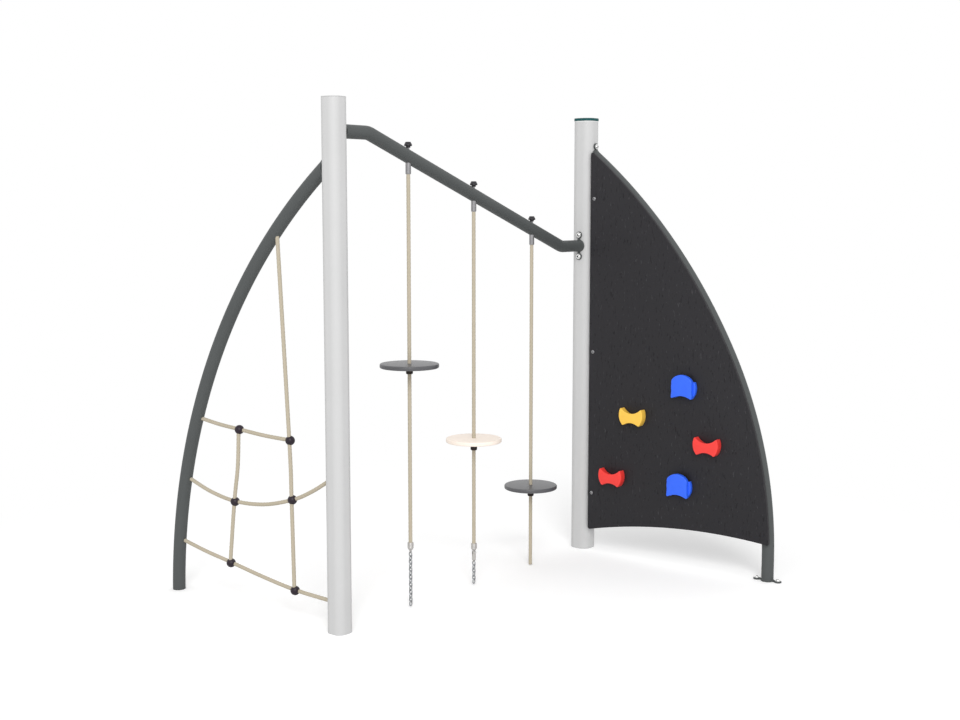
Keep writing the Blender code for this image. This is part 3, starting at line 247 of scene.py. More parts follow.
# Net ropes
# Two uprights and three cross ropes of the same laid rope. They run out of the arch tube,
# through the six balls, and the lower two cross ropes end in the front post.
NET_ARCH_FOOT = 1.081        # post line to the arch tube's axis at the ground
NET_ARCH_RADIUS = 2.588
NET_ARCH_BELOW_TOP = 0.294
FLANGE_THICKNESS = 0.008
SEAT_GAP = 0.0003            # between pieces that touch
NET_ROPE_PLANE = 0.0050      # the uprights pass on one side, the cross ropes on the other
NET_HIGH_INNER = (0.2925, 0.8147)   # distance from the post line, height
NET_HIGH_OUTER = (0.6240, 0.8289)
NET_MID_INNER = (0.2840, 0.5485)
NET_MID_OUTER = (0.6631, 0.4883)
NET_LOW_INNER = (0.2756, 0.1365)
NET_LOW_OUTER = (0.7000, 0.1923)
NET_MID_SAG_POINT = (0.4690, 0.5010)
SLACK = 0.014                # sag of the middle rope's span to the arch
POST_SPAN_SLACK = 0.6 * SLACK   # of its span to the post
SLIGHT_SLACK = 0.004         # of the other cross ropes' spans
UPRIGHT_BOW = 0.009          # of the short upright towards the post
NET_UPRIGHT_ON_ARCH = 0.349
NET_HIGH_ON_ARCH = 0.8575    # heights at which the cross ropes meet the arch's axis
NET_MID_ON_ARCH = 0.5620
NET_LOW_ON_ARCH = 0.2510
NET_MID_ON_POST = 0.6690
NET_LOW_ON_POST = 0.1270
ROPE_END_IN_POST = 0.016
ROPE_END_IN_BALL = 0.006

post_low, post_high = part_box("front_post")
front_x = (post_low.x + post_high.x) / 2
line_y = (post_low.y + post_high.y) / 2
front_half = (post_high.x - post_low.x) / 2


def circle_centre(foot, top, radius):
    """Centre of the circle through two points, on the side nearer the post line."""
    chord = Vector(top) - Vector(foot)
    inward = Vector((-chord.y, chord.x)).normalized()
    return (Vector(foot) + Vector(top)) / 2 + inward * sqrt(radius ** 2 - (chord.length / 2) ** 2)


net_top = (front_half + SEAT_GAP + FLANGE_THICKNESS, cad_high.z - NET_ARCH_BELOW_TOP)
net_centre = circle_centre((NET_ARCH_FOOT, 0.0), net_top, NET_ARCH_RADIUS)


def net_arch_height(distance):
    """Height of the arch's axis at a distance from the post line."""
    return net_centre.y + sqrt(NET_ARCH_RADIUS ** 2 - (distance - net_centre.x) ** 2)


def net_arch_distance(height):
    """Distance of the arch's axis from the post line at a height."""
    return net_centre.x + sqrt(NET_ARCH_RADIUS ** 2 - (height - net_centre.y) ** 2)


def smooth_route(knots):
    """Close points on a smooth curve through the knots, whose short end pieces are straight."""
    guard = [2 * knots[0] - knots[1]] + knots + [2 * knots[-1] - knots[-2]]
    route = [knots[0]]
    for before, start, end, after in zip(guard, guard[1:], guard[2:], guard[3:]):
        span = (end - start).length
        steps = round(span / ROPE_STEP) if span > 3 * ROPE_DIAMETER else 1
        for k in range(1, steps + 1):
            t = k / steps
            route.append(0.5 * (2 * start + (end - before) * t
                                + (2 * before - 5 * start + 4 * end - after) * t ** 2
                                + (3 * start - before - 3 * end + after) * t ** 3))
    return route


def beyond(start, end, length):
    """A point past start, away from end, by a length."""
    way = Vector(start) - Vector(end)
    return Vector(start) + way.normalized() * length


def into_ball(end, before):
    """Where a rope that ends in a ball stops, a little past the crossing."""
    return beyond(end, before, ROPE_END_IN_BALL)


def halfway(start, end, down=0.0, aside=0.0):
    """The middle of two points, moved down and towards the post."""
    return (Vector(start) + Vector(end)) / 2 - Vector((aside, down))


mid_face = (front_half, NET_MID_ON_POST)
high_on_arch = (net_arch_distance(NET_HIGH_ON_ARCH), NET_HIGH_ON_ARCH)
mid_on_arch = (net_arch_distance(NET_MID_ON_ARCH), NET_MID_ON_ARCH)
low_on_arch = (net_arch_distance(NET_LOW_ON_ARCH), NET_LOW_ON_ARCH)
low_in_post = (front_half - ROPE_END_IN_POST, NET_LOW_ON_POST)
NET_ROPES = {
    # name: route, side of the net's plane
    "net_upright_long": ([(NET_UPRIGHT_ON_ARCH, net_arch_height(NET_UPRIGHT_ON_ARCH)),
                          NET_HIGH_INNER, NET_MID_INNER, NET_LOW_INNER,
                          into_ball(NET_LOW_INNER, NET_MID_INNER)], -1),
    "net_upright_short": ([into_ball(NET_HIGH_OUTER, NET_MID_OUTER), NET_HIGH_OUTER,
                           halfway(NET_HIGH_OUTER, NET_MID_OUTER, aside=UPRIGHT_BOW),
                           NET_MID_OUTER, NET_LOW_OUTER,
                           into_ball(NET_LOW_OUTER, NET_MID_OUTER)], -1),
    "net_rope_high": ([high_on_arch, halfway(high_on_arch, NET_HIGH_OUTER, SLIGHT_SLACK),
                       NET_HIGH_OUTER, halfway(NET_HIGH_OUTER, NET_HIGH_INNER, SLIGHT_SLACK),
                       NET_HIGH_INNER, into_ball(NET_HIGH_INNER, NET_HIGH_OUTER)], 1),
    "net_rope_middle": ([mid_on_arch, halfway(mid_on_arch, NET_MID_OUTER, SLACK), NET_MID_OUTER,
                         NET_MID_SAG_POINT, NET_MID_INNER,
                         halfway(NET_MID_INNER, mid_face, POST_SPAN_SLACK), mid_face,
                         beyond(mid_face, NET_MID_INNER, ROPE_END_IN_POST)], 1),
    "net_rope_low": ([low_on_arch, halfway(low_on_arch, NET_LOW_OUTER, SLIGHT_SLACK),
                      NET_LOW_OUTER, halfway(NET_LOW_OUTER, NET_LOW_INNER, SLIGHT_SLACK),
                      NET_LOW_INNER, low_in_post], 1),
}
for name, (places, side) in NET_ROPES.items():
    knots = [Vector((front_x + side * NET_ROPE_PLANE, line_y + y, z)) for y, z in places]
    line = smooth_route(knots)
    rope, length = laid_rope(name.replace("net_", "laid_"), line)
    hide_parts(name)
    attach(rope, "frame")

# Posts
# Square steel tubes with well rounded corners, galvanised and powder-coated light grey: a satin
# skin with a faint orange peel. Three lugs for the panel are welded behind the rear one.
FRONT_POST_CORNER = 0.036
FRONT_POST_WALL = 0.004
REAR_POST_CORNER = 0.044
REAR_POST_WALL = 0.0045
POST_CORNER_SEGMENTS = 14
REAR_CAP_THICKNESS = 0.014
# The pale ring is partly a collar and partly a painted highlight of the tube's top rim.
REAR_CAP_FOOT = 0.0035       # height of the pale ring between the tube and its teal cap
COAT_PATCH = 0.25            # length over which the coat's tone drifts
PEEL_SIZE = 0.0025           # of the coat's orange peel, as coarse as it needs to show
PEEL_DEPTH = 0.0002
LUG_THICKNESS = 0.007
LUG_HEIGHT = 0.044
LUG_MARGIN = 0.017           # of a lug beyond its bolt's centre
LUG_ROUND = 0.0015
CREASE = 30.0                # degrees; edges that turn more stay sharp, or are rounded


def make_grained_skin(name, tones, patch, grain, detail, depth, relief, roughness, spread, sheen):
    """Skin of two close tones that drift from patch to patch, with a fine grain.

    The grain varies the gloss and the relief. All sizes are in metres.
    """
    material = blank_material(name)
    surface = add_node(material, "ShaderNodeTexCoord")
    drift = add_node(material, "ShaderNodeTexNoise", {"Scale": 1 / patch, "Detail": 2.0},
                     {"Vector": (surface, "Object")})
    colour = add_node(material, "ShaderNodeMix",
                      {"A_Color": linear(tones[0]), "B_Color": linear(tones[1])},
                      {"Factor_Float": (drift, "Fac")}, data_type="RGBA")
    speck = add_node(material, "ShaderNodeTexNoise", {"Scale": 1 / grain, "Detail": detail},
                     {"Vector": (surface, "Object")})
    gloss = add_node(material, "ShaderNodeMapRange",
                     {"To Min": roughness - spread, "To Max": roughness + spread},
                     {"Value": (speck, "Fac")})
    bump = add_node(material, "ShaderNodeBump", {"Strength": relief, "Distance": depth},
                    {"Height": (speck, "Fac")})
    return close_material(material, {"Specular IOR Level": sheen},
                          {"Base Color": (colour, "Result_Color"), "Roughness": (gloss, "Result"),
                           "Normal": (bump, "Normal")})


def make_powder_coat(name, tones, roughness, sheen):
    """Powder coat: an even, opaque skin with a shallow orange peel."""
    return make_grained_skin(name, tones, COAT_PATCH, PEEL_SIZE, detail=2.0, depth=PEEL_DEPTH,
                             relief=0.25, roughness=roughness, spread=0.05, sheen=sheen)


def settle(bm, name, *materials):
    """Turn a finished shape into an object with outward faces and smooth rounds."""
    bmesh.ops.remove_doubles(bm, verts=bm.verts, dist=MERGE_DISTANCE)
    bmesh.ops.recalc_face_normals(bm, faces=bm.faces)
    mesh = bpy.data.meshes.new(name)
    bm.to_mesh(mesh)
    bm.free()
    for material in materials:
        mesh.materials.append(material)
    mesh.shade_smooth()
    mesh.set_sharp_from_angle(angle=radians(CREASE))
    thing = bpy.data.objects.new(name, mesh)
    bpy.context.scene.collection.objects.link(thing)
    return thing


def stands_for(thing, slot, body, *nodes):
    """Put a piece in its nodes' place on a body, and hide the nodes. The slot is not used."""
    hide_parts(*nodes)
    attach(thing, body)


def moved(shape, place):
    """A shape, moved to its place."""
    bmesh.ops.transform(shape, matrix=place, verts=shape.verts)
    return shape


def join_in(base, shape, place=Matrix.Identity(4)):
    """Add a finished shape to another one, moved to its place."""
    mesh = bpy.data.meshes.new("joined")
    moved(shape, place).to_mesh(mesh)
    shape.free()
    base.from_mesh(mesh)
    bpy.data.meshes.remove(mesh)


def soften(bm, width, segments=3, angle=CREASE):
    """Round every edge that turns more than an angle."""
    bmesh.ops.remove_doubles(bm, verts=bm.verts, dist=MERGE_DISTANCE)
    hard = [e for e in bm.edges if e.is_manifold and e.calc_face_angle() > radians(angle)]
    bmesh.ops.bevel(bm, geom=hard, offset=width, segments=segments, profile=0.5, affect="EDGES",
                    material=-1, clamp_overlap=True)


def block(low, high):
    """A box between two corners, as a shape."""
    shape = bmesh.new()
    bmesh.ops.create_cube(shape, size=1.0)
    bmesh.ops.scale(shape, vec=Vector(high) - Vector(low), verts=shape.verts)
    bmesh.ops.translate(shape, vec=(Vector(high) + Vector(low)) / 2, verts=shape.verts)
    return shape


def rises(edge, height):
    """Whether an edge rises by more than half of a height."""
    return abs(edge.verts[0].co.z - edge.verts[1].co.z) > 0.5 * height


def rounded_square(middle, width, corner, low, high, wall=None):
    """Upright rounded-square bar, or a tube where it has a wall."""
    half = width / 2
    shape = block((middle[0] - half, middle[1] - half, low),
                  (middle[0] + half, middle[1] + half, high))
    upright = [e for e in shape.edges if rises(e, high - low)]
    bmesh.ops.bevel(shape, geom=upright, offset=corner, segments=POST_CORNER_SEGMENTS, profile=0.5,
                    affect="EDGES", material=-1)
    if wall:
        ends = [f for f in shape.faces if abs(f.normal.z) > 0.5]
        bmesh.ops.inset_individual(shape, faces=ends, thickness=wall, use_even_offset=True)
        mouths = [e for f in ends for e in f.edges]
        bmesh.ops.delete(shape, geom=ends, context="FACES_ONLY")
        bmesh.ops.bridge_loops(shape, edges=mouths)
    return shape


def add_lug(tube, bolt, tube_y):
    """Weld on a lug that runs from inside a tube to a little past the panel's bolt."""
    hole = box_middle(bolt)
    end_y = hole.y + copysign(LUG_MARGIN, hole.y - tube_y)
    lug = block((lug_x, min(tube_y, end_y), hole.z - LUG_HEIGHT / 2),
                (lug_x + LUG_THICKNESS, max(tube_y, end_y), hole.z + LUG_HEIGHT / 2))
    soften(lug, LUG_ROUND, 2)
    join_in(tube, lug)


# The pale coat gives the eye an even, soft sheen on the flats and a brighter streak on each corner.
light_coat = make_powder_coat("light_grey_powder_coat", ("cccccc", "c5c5c5"), 0.42, 0.4)

front_tube = rounded_square((front_x, line_y), 2 * front_half, FRONT_POST_CORNER, 0.0, post_high.z,
                            FRONT_POST_WALL)
stands_for(settle(front_tube, "front_post_tube", light_coat), "light_grey_coating", "frame",
           "front_post")

rear_low, rear_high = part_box("rear_post")
rear_x = (rear_low.x + rear_high.x) / 2
rear_half = (rear_high.x - rear_low.x) / 2
panel_low, panel_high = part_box("climbing_panel")
lug_x = panel_high.x + SEAT_GAP
rear_tube_top = cad_high.z - REAR_CAP_THICKNESS - REAR_CAP_FOOT
rear_tube = rounded_square((rear_x, line_y), 2 * rear_half, REAR_POST_CORNER, 0.0, rear_tube_top,
                           REAR_POST_WALL)
for place in ("upper", "middle", "lower"):
    add_lug(rear_tube, "panel_bolt_" + place, line_y - rear_half + REAR_POST_WALL)
stands_for(settle(rear_tube, "rear_post_tube", light_coat), "light_grey_coating", "frame",
           "rear_post")

# Post caps
# The front cap is a thin plate in the post's own grey, flush with it. The rear cap is moulded
# teal polyethylene, thicker and a little proud. Both plug into the post with a hollow spigot.
FRONT_CAP_THICKNESS = 0.004
REAR_CAP_OVERHANG = 0.002
CAP_SPIGOT_DEPTH = 0.020
CAP_SPIGOT_WALL = 0.004
FRONT_CAP_ROUND = 0.0012
REAR_CAP_ROUND = 0.0015
CAP_CREASE = 60.0            # degrees; only the caps' rims turn more, and are rounded
PLASTIC_PATCH = 0.04         # length over which a moulding's tone drifts
PLASTIC_GRAIN = 0.0006       # of its spark-eroded grain
PLASTIC_GRAIN_DEPTH = 0.00008


def make_moulded_plastic(name, tones, roughness, grain=PLASTIC_GRAIN, depth=PLASTIC_GRAIN_DEPTH,
                         sheen=0.5):
    """Moulded plastic, resin or rubber: an even colour right through, with its mould's grain."""
    return make_grained_skin(name, tones, PLASTIC_PATCH, grain, detail=3.0, depth=depth,
                             relief=0.4, roughness=roughness, spread=0.06, sheen=sheen)


def spigot(middle, width, corner, wall, top):
    """Hollow plug under a cap, which fits inside the wall of a post."""
    fit = wall + SEAT_GAP
    return rounded_square(middle, width - 2 * fit, corner - fit, top - CAP_SPIGOT_DEPTH, top,
                          CAP_SPIGOT_WALL)


# Coloured polyethylene is slightly waxy: the teal is deep with a dull sheen. The ring below is
# milky, and its white also paints the bright highlight on the post's top rim.
teal_plastic = make_moulded_plastic("teal_moulded_polyethylene", ("0f5152", "0d494a"), 0.50,
                                    sheen=0.25)
white_plastic_and_painted_highlight = make_moulded_plastic("white_polyethylene_painted_highlight", ("efefee", "e8e8e7"), 0.45)

front_cap = rounded_square((front_x, line_y), 2 * front_half, FRONT_POST_CORNER,
                           cad_high.z - FRONT_CAP_THICKNESS, cad_high.z)
soften(front_cap, FRONT_CAP_ROUND, angle=CAP_CREASE)
join_in(front_cap, spigot((front_x, line_y), 2 * front_half, FRONT_POST_CORNER, FRONT_POST_WALL,
                          cad_high.z - FRONT_CAP_THICKNESS / 2))
stands_for(settle(front_cap, "front_cap_plate", light_coat), "light_grey_coating", "frame",
           "front_post_cap")

rear_cap = rounded_square((rear_x, line_y), 2 * (rear_half + REAR_CAP_OVERHANG),
                          REAR_POST_CORNER + REAR_CAP_OVERHANG,
                          cad_high.z - REAR_CAP_THICKNESS, cad_high.z)
soften(rear_cap, REAR_CAP_ROUND, angle=CAP_CREASE)
stands_for(settle(rear_cap, "rear_cap_top", teal_plastic), "teal_plastic", "frame", "rear_post_cap")
# Pale ring under the teal cap: partly a collar, partly a painted highlight of the tube's top rim.
band = rounded_square((rear_x, line_y), 2 * rear_half, REAR_POST_CORNER,
                      rear_tube_top, rear_tube_top + REAR_CAP_FOOT - SEAT_GAP)
join_in(band, spigot((rear_x, line_y), 2 * rear_half, REAR_POST_CORNER, REAR_POST_WALL,
                     rear_tube_top + REAR_CAP_FOOT / 2))
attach(settle(band, "rear_cap_ring_painted_highlight", white_plastic_and_painted_highlight), "frame")

# Crossbar
# Round steel tube, bent near both posts and powder-coated dark grey, with a two-eared flange
# welded to each end. A weld bead runs round the tube at the flange.
TUBE_DIAMETER = 0.0603
TUBE_SEGMENTS = 48
TUBE_BEND_STEPS = 10
BAR_BELOW_TOP = 0.142
BAR_FALL = 0.523
BAR_HIGH_STUB = 0.207        # front post's axis to the upper bend
BAR_LOW_STUB = 0.225         # rear post's axis to the lower bend
BAR_BEND_RADIUS = 0.100
FLANGE_BOLT_OFFSET = 0.0565  # from the flange's middle to each bolt
FLANGE_EAR_RADIUS = 0.0175
FLANGE_NECK_WIDTH = 0.013
FLANGE_CORE_MARGIN = 0.0018  # of the flange's round middle beyond the tube
FLANGE_EAR_STEPS = 28
FLANGE_CORE_STEPS = 18
FLANGE_EDGE_ROUND = 0.001
PAINTED_SHADE_SHARE = 0.2           # of the flange's thickness, at its seat, that is coloured black as painted shade
WELD_RADIUS = 0.0017
WELD_SEGMENTS = 8
WASHER_RADIUS = 0.014
WASHER_THICKNESS = 0.0025
WASHER_CLEARANCE = 0.001     # of a washer from a slanting tube
UP = (0.0, 0.0, 1.0)

# The dark coat is satin with little shine: a soft pale line runs along the top of each tube.
dark_coat = make_powder_coat("dark_grey_powder_coat", ("545757", "4f5252"), 0.52, 0.22)
# Painted shade: the flanges' seats are dull black in place of the deep shade in the narrow gap at
# the post, and read as a thin dark joint.
seat_painted_shade = make_powder_coat("black_painted_seat_shade", ("141515", "101111"), 0.70, 0.10)
tube_radius = TUBE_DIAMETER / 2


def axes(origin, x_axis, y_axis):
    """Placing matrix from an origin and the directions of local X and Y."""
    x_dir, y_dir = Vector(x_axis), Vector(y_axis)
    basis = Matrix((x_dir, y_dir, x_dir.cross(y_dir))).transposed().to_4x4()
    return Matrix.Translation(origin) @ basis


def facing(seat, outward):
    """Placing matrix that takes local Z to a direction, at a point."""
    turn = Vector(UP).rotation_difference(Vector(outward)).to_matrix().to_4x4()
    return Matrix.Translation(seat) @ turn


def ring_of_edges(bm, centre, direction, radius, segments=TUBE_SEGMENTS):
    """A circle of edges, the start of a tube that runs in a direction."""
    made = bmesh.ops.create_circle(bm, cap_ends=False, segments=segments, radius=radius,
                                   matrix=facing(centre, direction))
    return list({e for v in made["verts"] for e in v.link_edges})


def verts_of(made):
    """The vertices among what an operator made."""
    return [g for g in made if isinstance(g, bmesh.types.BMVert)]


def edges_of(made):
    """The edges among what an operator made."""
    return [g for g in made if isinstance(g, bmesh.types.BMEdge)]


def run_on(bm, ring, way):
    """Carry a ring of edges straight on, and return the ring at the far end."""
    made = bmesh.ops.extrude_edge_only(bm, edges=ring)["geom"]
    far = set(verts_of(made))
    bmesh.ops.translate(bm, vec=way, verts=list(far))
    return [e for e in edges_of(made) if far.issuperset(e.verts)]


def bend_on(bm, ring, centre, axis, angle, steps=TUBE_BEND_STEPS):
    """Carry a ring of edges round a bend, and return the ring at the far end."""
    made = bmesh.ops.spin(bm, geom=ring, cent=centre, axis=axis, angle=angle, steps=steps)
    return edges_of(made["geom_last"])


def line_to(bm, vert, point):
    """Draw an edge from a vertex to a new one at a point, and return that."""
    end = bmesh.ops.extrude_vert_indiv(bm, verts=[vert])["verts"][0]
    end.co = point
    return end


def arc_on(bm, vert, centre, angle, steps, axis=UP):
    """Draw an arc of edges from a vertex about a centre, and return its last vertex."""
    made = bmesh.ops.spin(bm, geom=[vert], cent=centre, axis=axis, angle=angle, steps=steps)
    return verts_of(made["geom_last"])[0]


def fill_and_raise(bm, thickness):
    """Fill a closed outline of edges, and raise it along Z to a plate."""
    flat = bmesh.ops.contextual_create(bm, geom=bm.edges[:])["faces"]
    made = bmesh.ops.extrude_face_region(bm, geom=flat)["geom"]
    bmesh.ops.translate(bm, vec=(0.0, 0.0, thickness), verts=verts_of(made))


def ear_offset(slant):
    """Distance of a flange's bolts from its middle, more where a slanting tube needs it."""
    least = (tube_radius / cos(slant) + WASHER_THICKNESS * tan(slant) + WASHER_RADIUS
             + WASHER_CLEARANCE)
    return max(FLANGE_BOLT_OFFSET, least)


def flange_shape(slant=0.0):
    """Two-eared plate with ears along Y, and the weld bead of a tube that leaves it on its +Z side.

    Where the tube leaves at a slant, the middle and the bead are oval.
    """
    stretch = 1 / cos(slant)
    half_neck = FLANGE_NECK_WIDTH / 2
    core = tube_radius + FLANGE_CORE_MARGIN
    ear_y = ear_offset(slant)
    ear_turn = asin(half_neck / FLANGE_EAR_RADIUS)
    core_turn = asin(half_neck / core)
    corner_y = ear_y - FLANGE_EAR_RADIUS * cos(ear_turn)
    shape = bmesh.new()
    vert = bmesh.ops.create_vert(shape, co=(half_neck, corner_y, 0.0))["vert"][0]
    for side in (1, -1):
        vert = arc_on(shape, vert, (0.0, side * ear_y, 0.0), 2 * pi - 2 * ear_turn,
                      FLANGE_EAR_STEPS)
        drawn = set(shape.verts)
        vert = line_to(shape, vert, (-side * half_neck, side * core * cos(core_turn), 0.0))
        vert = arc_on(shape, vert, (0.0, 0.0, 0.0), pi - 2 * core_turn, FLANGE_CORE_STEPS)
        for middle in set(shape.verts) - drawn:
            middle.co.y *= stretch
        vert = line_to(shape, vert, (-side * half_neck, -side * corner_y, 0.0))
    fill_and_raise(shape, FLANGE_THICKNESS)
    soften(shape, FLANGE_EDGE_ROUND, 2)
    # Faces at the seat take the second material, the black painted shade.
    for face in shape.faces:
        if face.calc_center_median().z < PAINTED_SHADE_SHARE * FLANGE_THICKNESS:
            face.material_index = 1
    bead = bmesh.new()
    bmesh.ops.create_circle(bead, cap_ends=False, segments=WELD_SEGMENTS, radius=WELD_RADIUS,
                            matrix=facing((tube_radius, 0.0, FLANGE_THICKNESS), (0.0, 1.0, 0.0)))
    bmesh.ops.spin(bead, geom=bead.verts[:] + bead.edges[:], cent=(0.0, 0.0, 0.0), axis=UP,
                   angle=2 * pi, steps=TUBE_SEGMENTS, use_merge=True)
    join_in(shape, bead, Matrix.Diagonal((1.0, stretch, 1.0, 1.0)))
    return shape


bar_high_z = cad_high.z - BAR_BELOW_TOP
bar_low_z = bar_high_z - BAR_FALL
bar_start = Vector((front_x + front_half + SEAT_GAP, line_y, bar_high_z))
bar_end = Vector((rear_x - rear_half - SEAT_GAP, line_y, bar_low_z))
high_bend = Vector((front_x + BAR_HIGH_STUB, line_y, bar_high_z))
low_bend = Vector((rear_x - BAR_LOW_STUB, line_y, bar_low_z))
fall_angle = atan2(BAR_FALL, low_bend.x - high_bend.x)
trim = BAR_BEND_RADIUS * tan(fall_angle / 2)     # of a bend's arc before and after its corner
downhill = (low_bend - high_bend).normalized()
bar = bmesh.new()
first_ring = ring_of_edges(bar, bar_start + Vector((FLANGE_THICKNESS / 2, 0.0, 0.0)), (1, 0, 0),
                           tube_radius)
ring = run_on(bar, first_ring,
              (high_bend.x - trim - bar_start.x - FLANGE_THICKNESS / 2, 0.0, 0.0))
ring = bend_on(bar, ring, (high_bend.x - trim, line_y, bar_high_z - BAR_BEND_RADIUS), (0, 1, 0),
               fall_angle)
ring = run_on(bar, ring, (low_bend - high_bend) - 2 * trim * downhill)
ring = bend_on(bar, ring, (low_bend.x + trim, line_y, bar_low_z + BAR_BEND_RADIUS), (0, 1, 0),
               -fall_angle)
ring = run_on(bar, ring, (bar_end.x - FLANGE_THICKNESS / 2 - low_bend.x - trim, 0.0, 0.0))
for end in (first_ring, ring):
    bmesh.ops.contextual_create(bar, geom=end)
join_in(bar, flange_shape(), axes(bar_start, (0, 1, 0), UP))
join_in(bar, flange_shape(), axes(bar_end, (0, -1, 0), UP))
stands_for(settle(bar, "crossbar_tube", dark_coat, seat_painted_shade), "dark_grey_coating", "frame",
           "crossbar")

# Flange bolts
# Stainless button heads with a hex socket, each on a wide washer, screwed into the posts. The
# panel's smaller ones are the same kind.
BOLT_DIAMETER = 0.010
BOLT_HEAD_RADIUS = 0.009
BOLT_HEAD_HEIGHT = 0.0055
SMALL_BOLT_DIAMETER = 0.008
SMALL_HEAD_RADIUS = 0.0065
SMALL_HEAD_HEIGHT = 0.004
SMALL_WASHER_RADIUS = 0.0092
SMALL_WASHER_THICKNESS = 0.0018
SOCKET_SHARE = 0.54          # of the hex socket over the head's radius
SOCKET_FLOOR = 0.3           # its floor's height over the washer's thickness
HEX_SHARE = 0.9              # of the hex's half width over the socket's radius
SOCKET_INSIDE = 0.97         # share of the socket's radius within which a face is the socket's
HEAD_SEGMENTS = 36
CHAMFER = 0.0004
POLE_MERGE = 0.000002        # vertices of a turned shape that are closer, as at a pole, become one
SCRATCH_SIZE = 0.0008        # coarser than real ones, so that they show
STAIN_SIZE = 0.008
STAIN_SHADE = 0.82           # of a metal's tone in its soft patches


def make_bare_metal(name, tone, roughness, spread):
    """Bare metal: bright skin whose gloss varies in fine scratches and soft patches."""
    material = blank_material(name)
    surface = add_node(material, "ShaderNodeTexCoord")
    fine = add_node(material, "ShaderNodeTexNoise", {"Scale": 1 / SCRATCH_SIZE, "Detail": 3.0},
                    {"Vector": (surface, "Object")})
    patches = add_node(material, "ShaderNodeTexNoise", {"Scale": 1 / STAIN_SIZE, "Detail": 2.0},
                       {"Vector": (surface, "Object")})
    gloss = add_node(material, "ShaderNodeMapRange",
                     {"To Min": roughness - spread, "To Max": roughness + spread},
                     {"Value": (fine, "Fac")})
    bright = linear(tone)
    dim = [STAIN_SHADE * v for v in bright[:3]] + [1.0]
    colour = add_node(material, "ShaderNodeMix", {"A_Color": bright, "B_Color": dim},
                      {"Factor_Float": (patches, "Fac")}, data_type="RGBA")
    return close_material(material, {"Metallic": 1.0}, {"Base Color": (colour, "Result_Color"),
                                                        "Roughness": (gloss, "Result")})


# Stainless bolt heads are the brightest points, with small sharp glints.
stainless = make_bare_metal("brushed_stainless_steel", "f2f2f1", 0.28, 0.08)
# Painted shade: a dark, dull steel lines the inside of their sockets in place of the shade in the
# recess, so that the hex reads as a dark dot.
socket_shade_steel = make_bare_metal("dark_steel_painted_socket_shade", "47474a", 0.60, 0.10)
# Zinc plate on the panel's bolts and the holds' studs is greyer and duller than stainless.
zinc_steel = make_bare_metal("zinc_plated_steel", "b0b0b2", 0.45, 0.08)


def lathe(profile, steps=TUBE_SEGMENTS):
    """Spin a line of (radius, height) points a full turn about Z."""
    shape = bmesh.new()
    vert = bmesh.ops.create_vert(shape, co=(profile[0][0], 0.0, profile[0][1]))["vert"][0]
    for radius, height in profile[1:]:
        vert = line_to(shape, vert, (radius, 0.0, height))
    bmesh.ops.spin(shape, geom=shape.verts[:] + shape.edges[:], cent=(0.0, 0.0, 0.0), axis=UP,
                   angle=2 * pi, steps=steps, use_merge=True)
    bmesh.ops.remove_doubles(shape, verts=shape.verts, dist=POLE_MERGE)
    return shape


def arc_points(centre, radius, start, end, steps=5):
    """Points of an arc in (radius, height), both ends included."""
    return [(centre[0] + radius * cos(start + (end - start) * k / steps),
             centre[1] + radius * sin(start + (end - start) * k / steps)) for k in range(steps + 1)]


def bolt_shape(shank, reach, head, head_height, washer, thickness):
    """Button head with a hex socket over its washer; the washer's seat is at height 0."""
    socket = SOCKET_SHARE * head
    floor = SOCKET_FLOOR * thickness
    dome = [(socket + (head - socket) * sin(a), thickness + head_height * cos(a))
            for a in [k * pi / 16 for k in range(8, -1, -1)]]
    profile = [(0.0, -reach), (shank - CHAMFER, -reach), (shank, -reach + CHAMFER), (shank, 0.0),
               (washer - CHAMFER, 0.0), (washer, CHAMFER), (washer, thickness - CHAMFER),
               (washer - CHAMFER, thickness)] + dome + [(socket, floor), (0.0, floor)]
    shape = lathe(profile, HEAD_SEGMENTS)
    for vert in shape.verts:
        radius = vert.co.xy.length
        if abs(radius - socket) < 2 * MERGE_DISTANCE and vert.co.z > floor - CHAMFER:
            turn = atan2(vert.co.y, vert.co.x) % (pi / 3) - pi / 6
            vert.co.xy *= HEX_SHARE / cos(turn)
    # Faces inside the socket take the second material, which paints the recess's shade.
    for face in shape.faces:
        middle = face.calc_center_median()
        if middle.xy.length < SOCKET_INSIDE * socket and middle.z > 0.5 * floor:
            face.material_index = 1
    return shape


def place_bolt(name, outward, small=False):
    """Set a bolt into its CAD box, with its head on the side it faces."""
    low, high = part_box(name)
    out = Vector(outward)
    reach = abs((high - low).dot(out))
    sizes = ((SMALL_BOLT_DIAMETER, SMALL_HEAD_RADIUS, SMALL_HEAD_HEIGHT, SMALL_WASHER_RADIUS,
              SMALL_WASHER_THICKNESS) if small else
             (BOLT_DIAMETER, BOLT_HEAD_RADIUS, BOLT_HEAD_HEIGHT, WASHER_RADIUS, WASHER_THICKNESS))
    diameter, head, head_height, washer, thickness = sizes
    proud = thickness + head_height
    shape = bolt_shape(diameter / 2, reach - proud, head, head_height, washer, thickness)
    moved(shape, facing(box_middle(name) + out * (reach / 2 - proud), out))
    stands_for(settle(shape, name + "_steel", zinc_steel if small else stainless, socket_shade_steel),
               "stainless_steel", "frame", name)


for label in ("a", "b"):
    place_bolt("crossbar_front_bolt_" + label, (1, 0, 0))
    place_bolt("crossbar_rear_bolt_" + label, (-1, 0, 0))
    place_bolt("net_arch_bolt_" + label, (0, 1, 0))
    place_bolt("panel_arch_bolt_" + label, (0, -1, 0))
    place_bolt("foot_bolt_" + label, UP)
for place in ("upper", "middle", "lower"):
    place_bolt("panel_bolt_" + place, (-1, 0, 0), small=True)
for place in ("lower", "upper"):
    place_bolt("panel_back_bolt_" + place, (1, 0, 0), small=True)

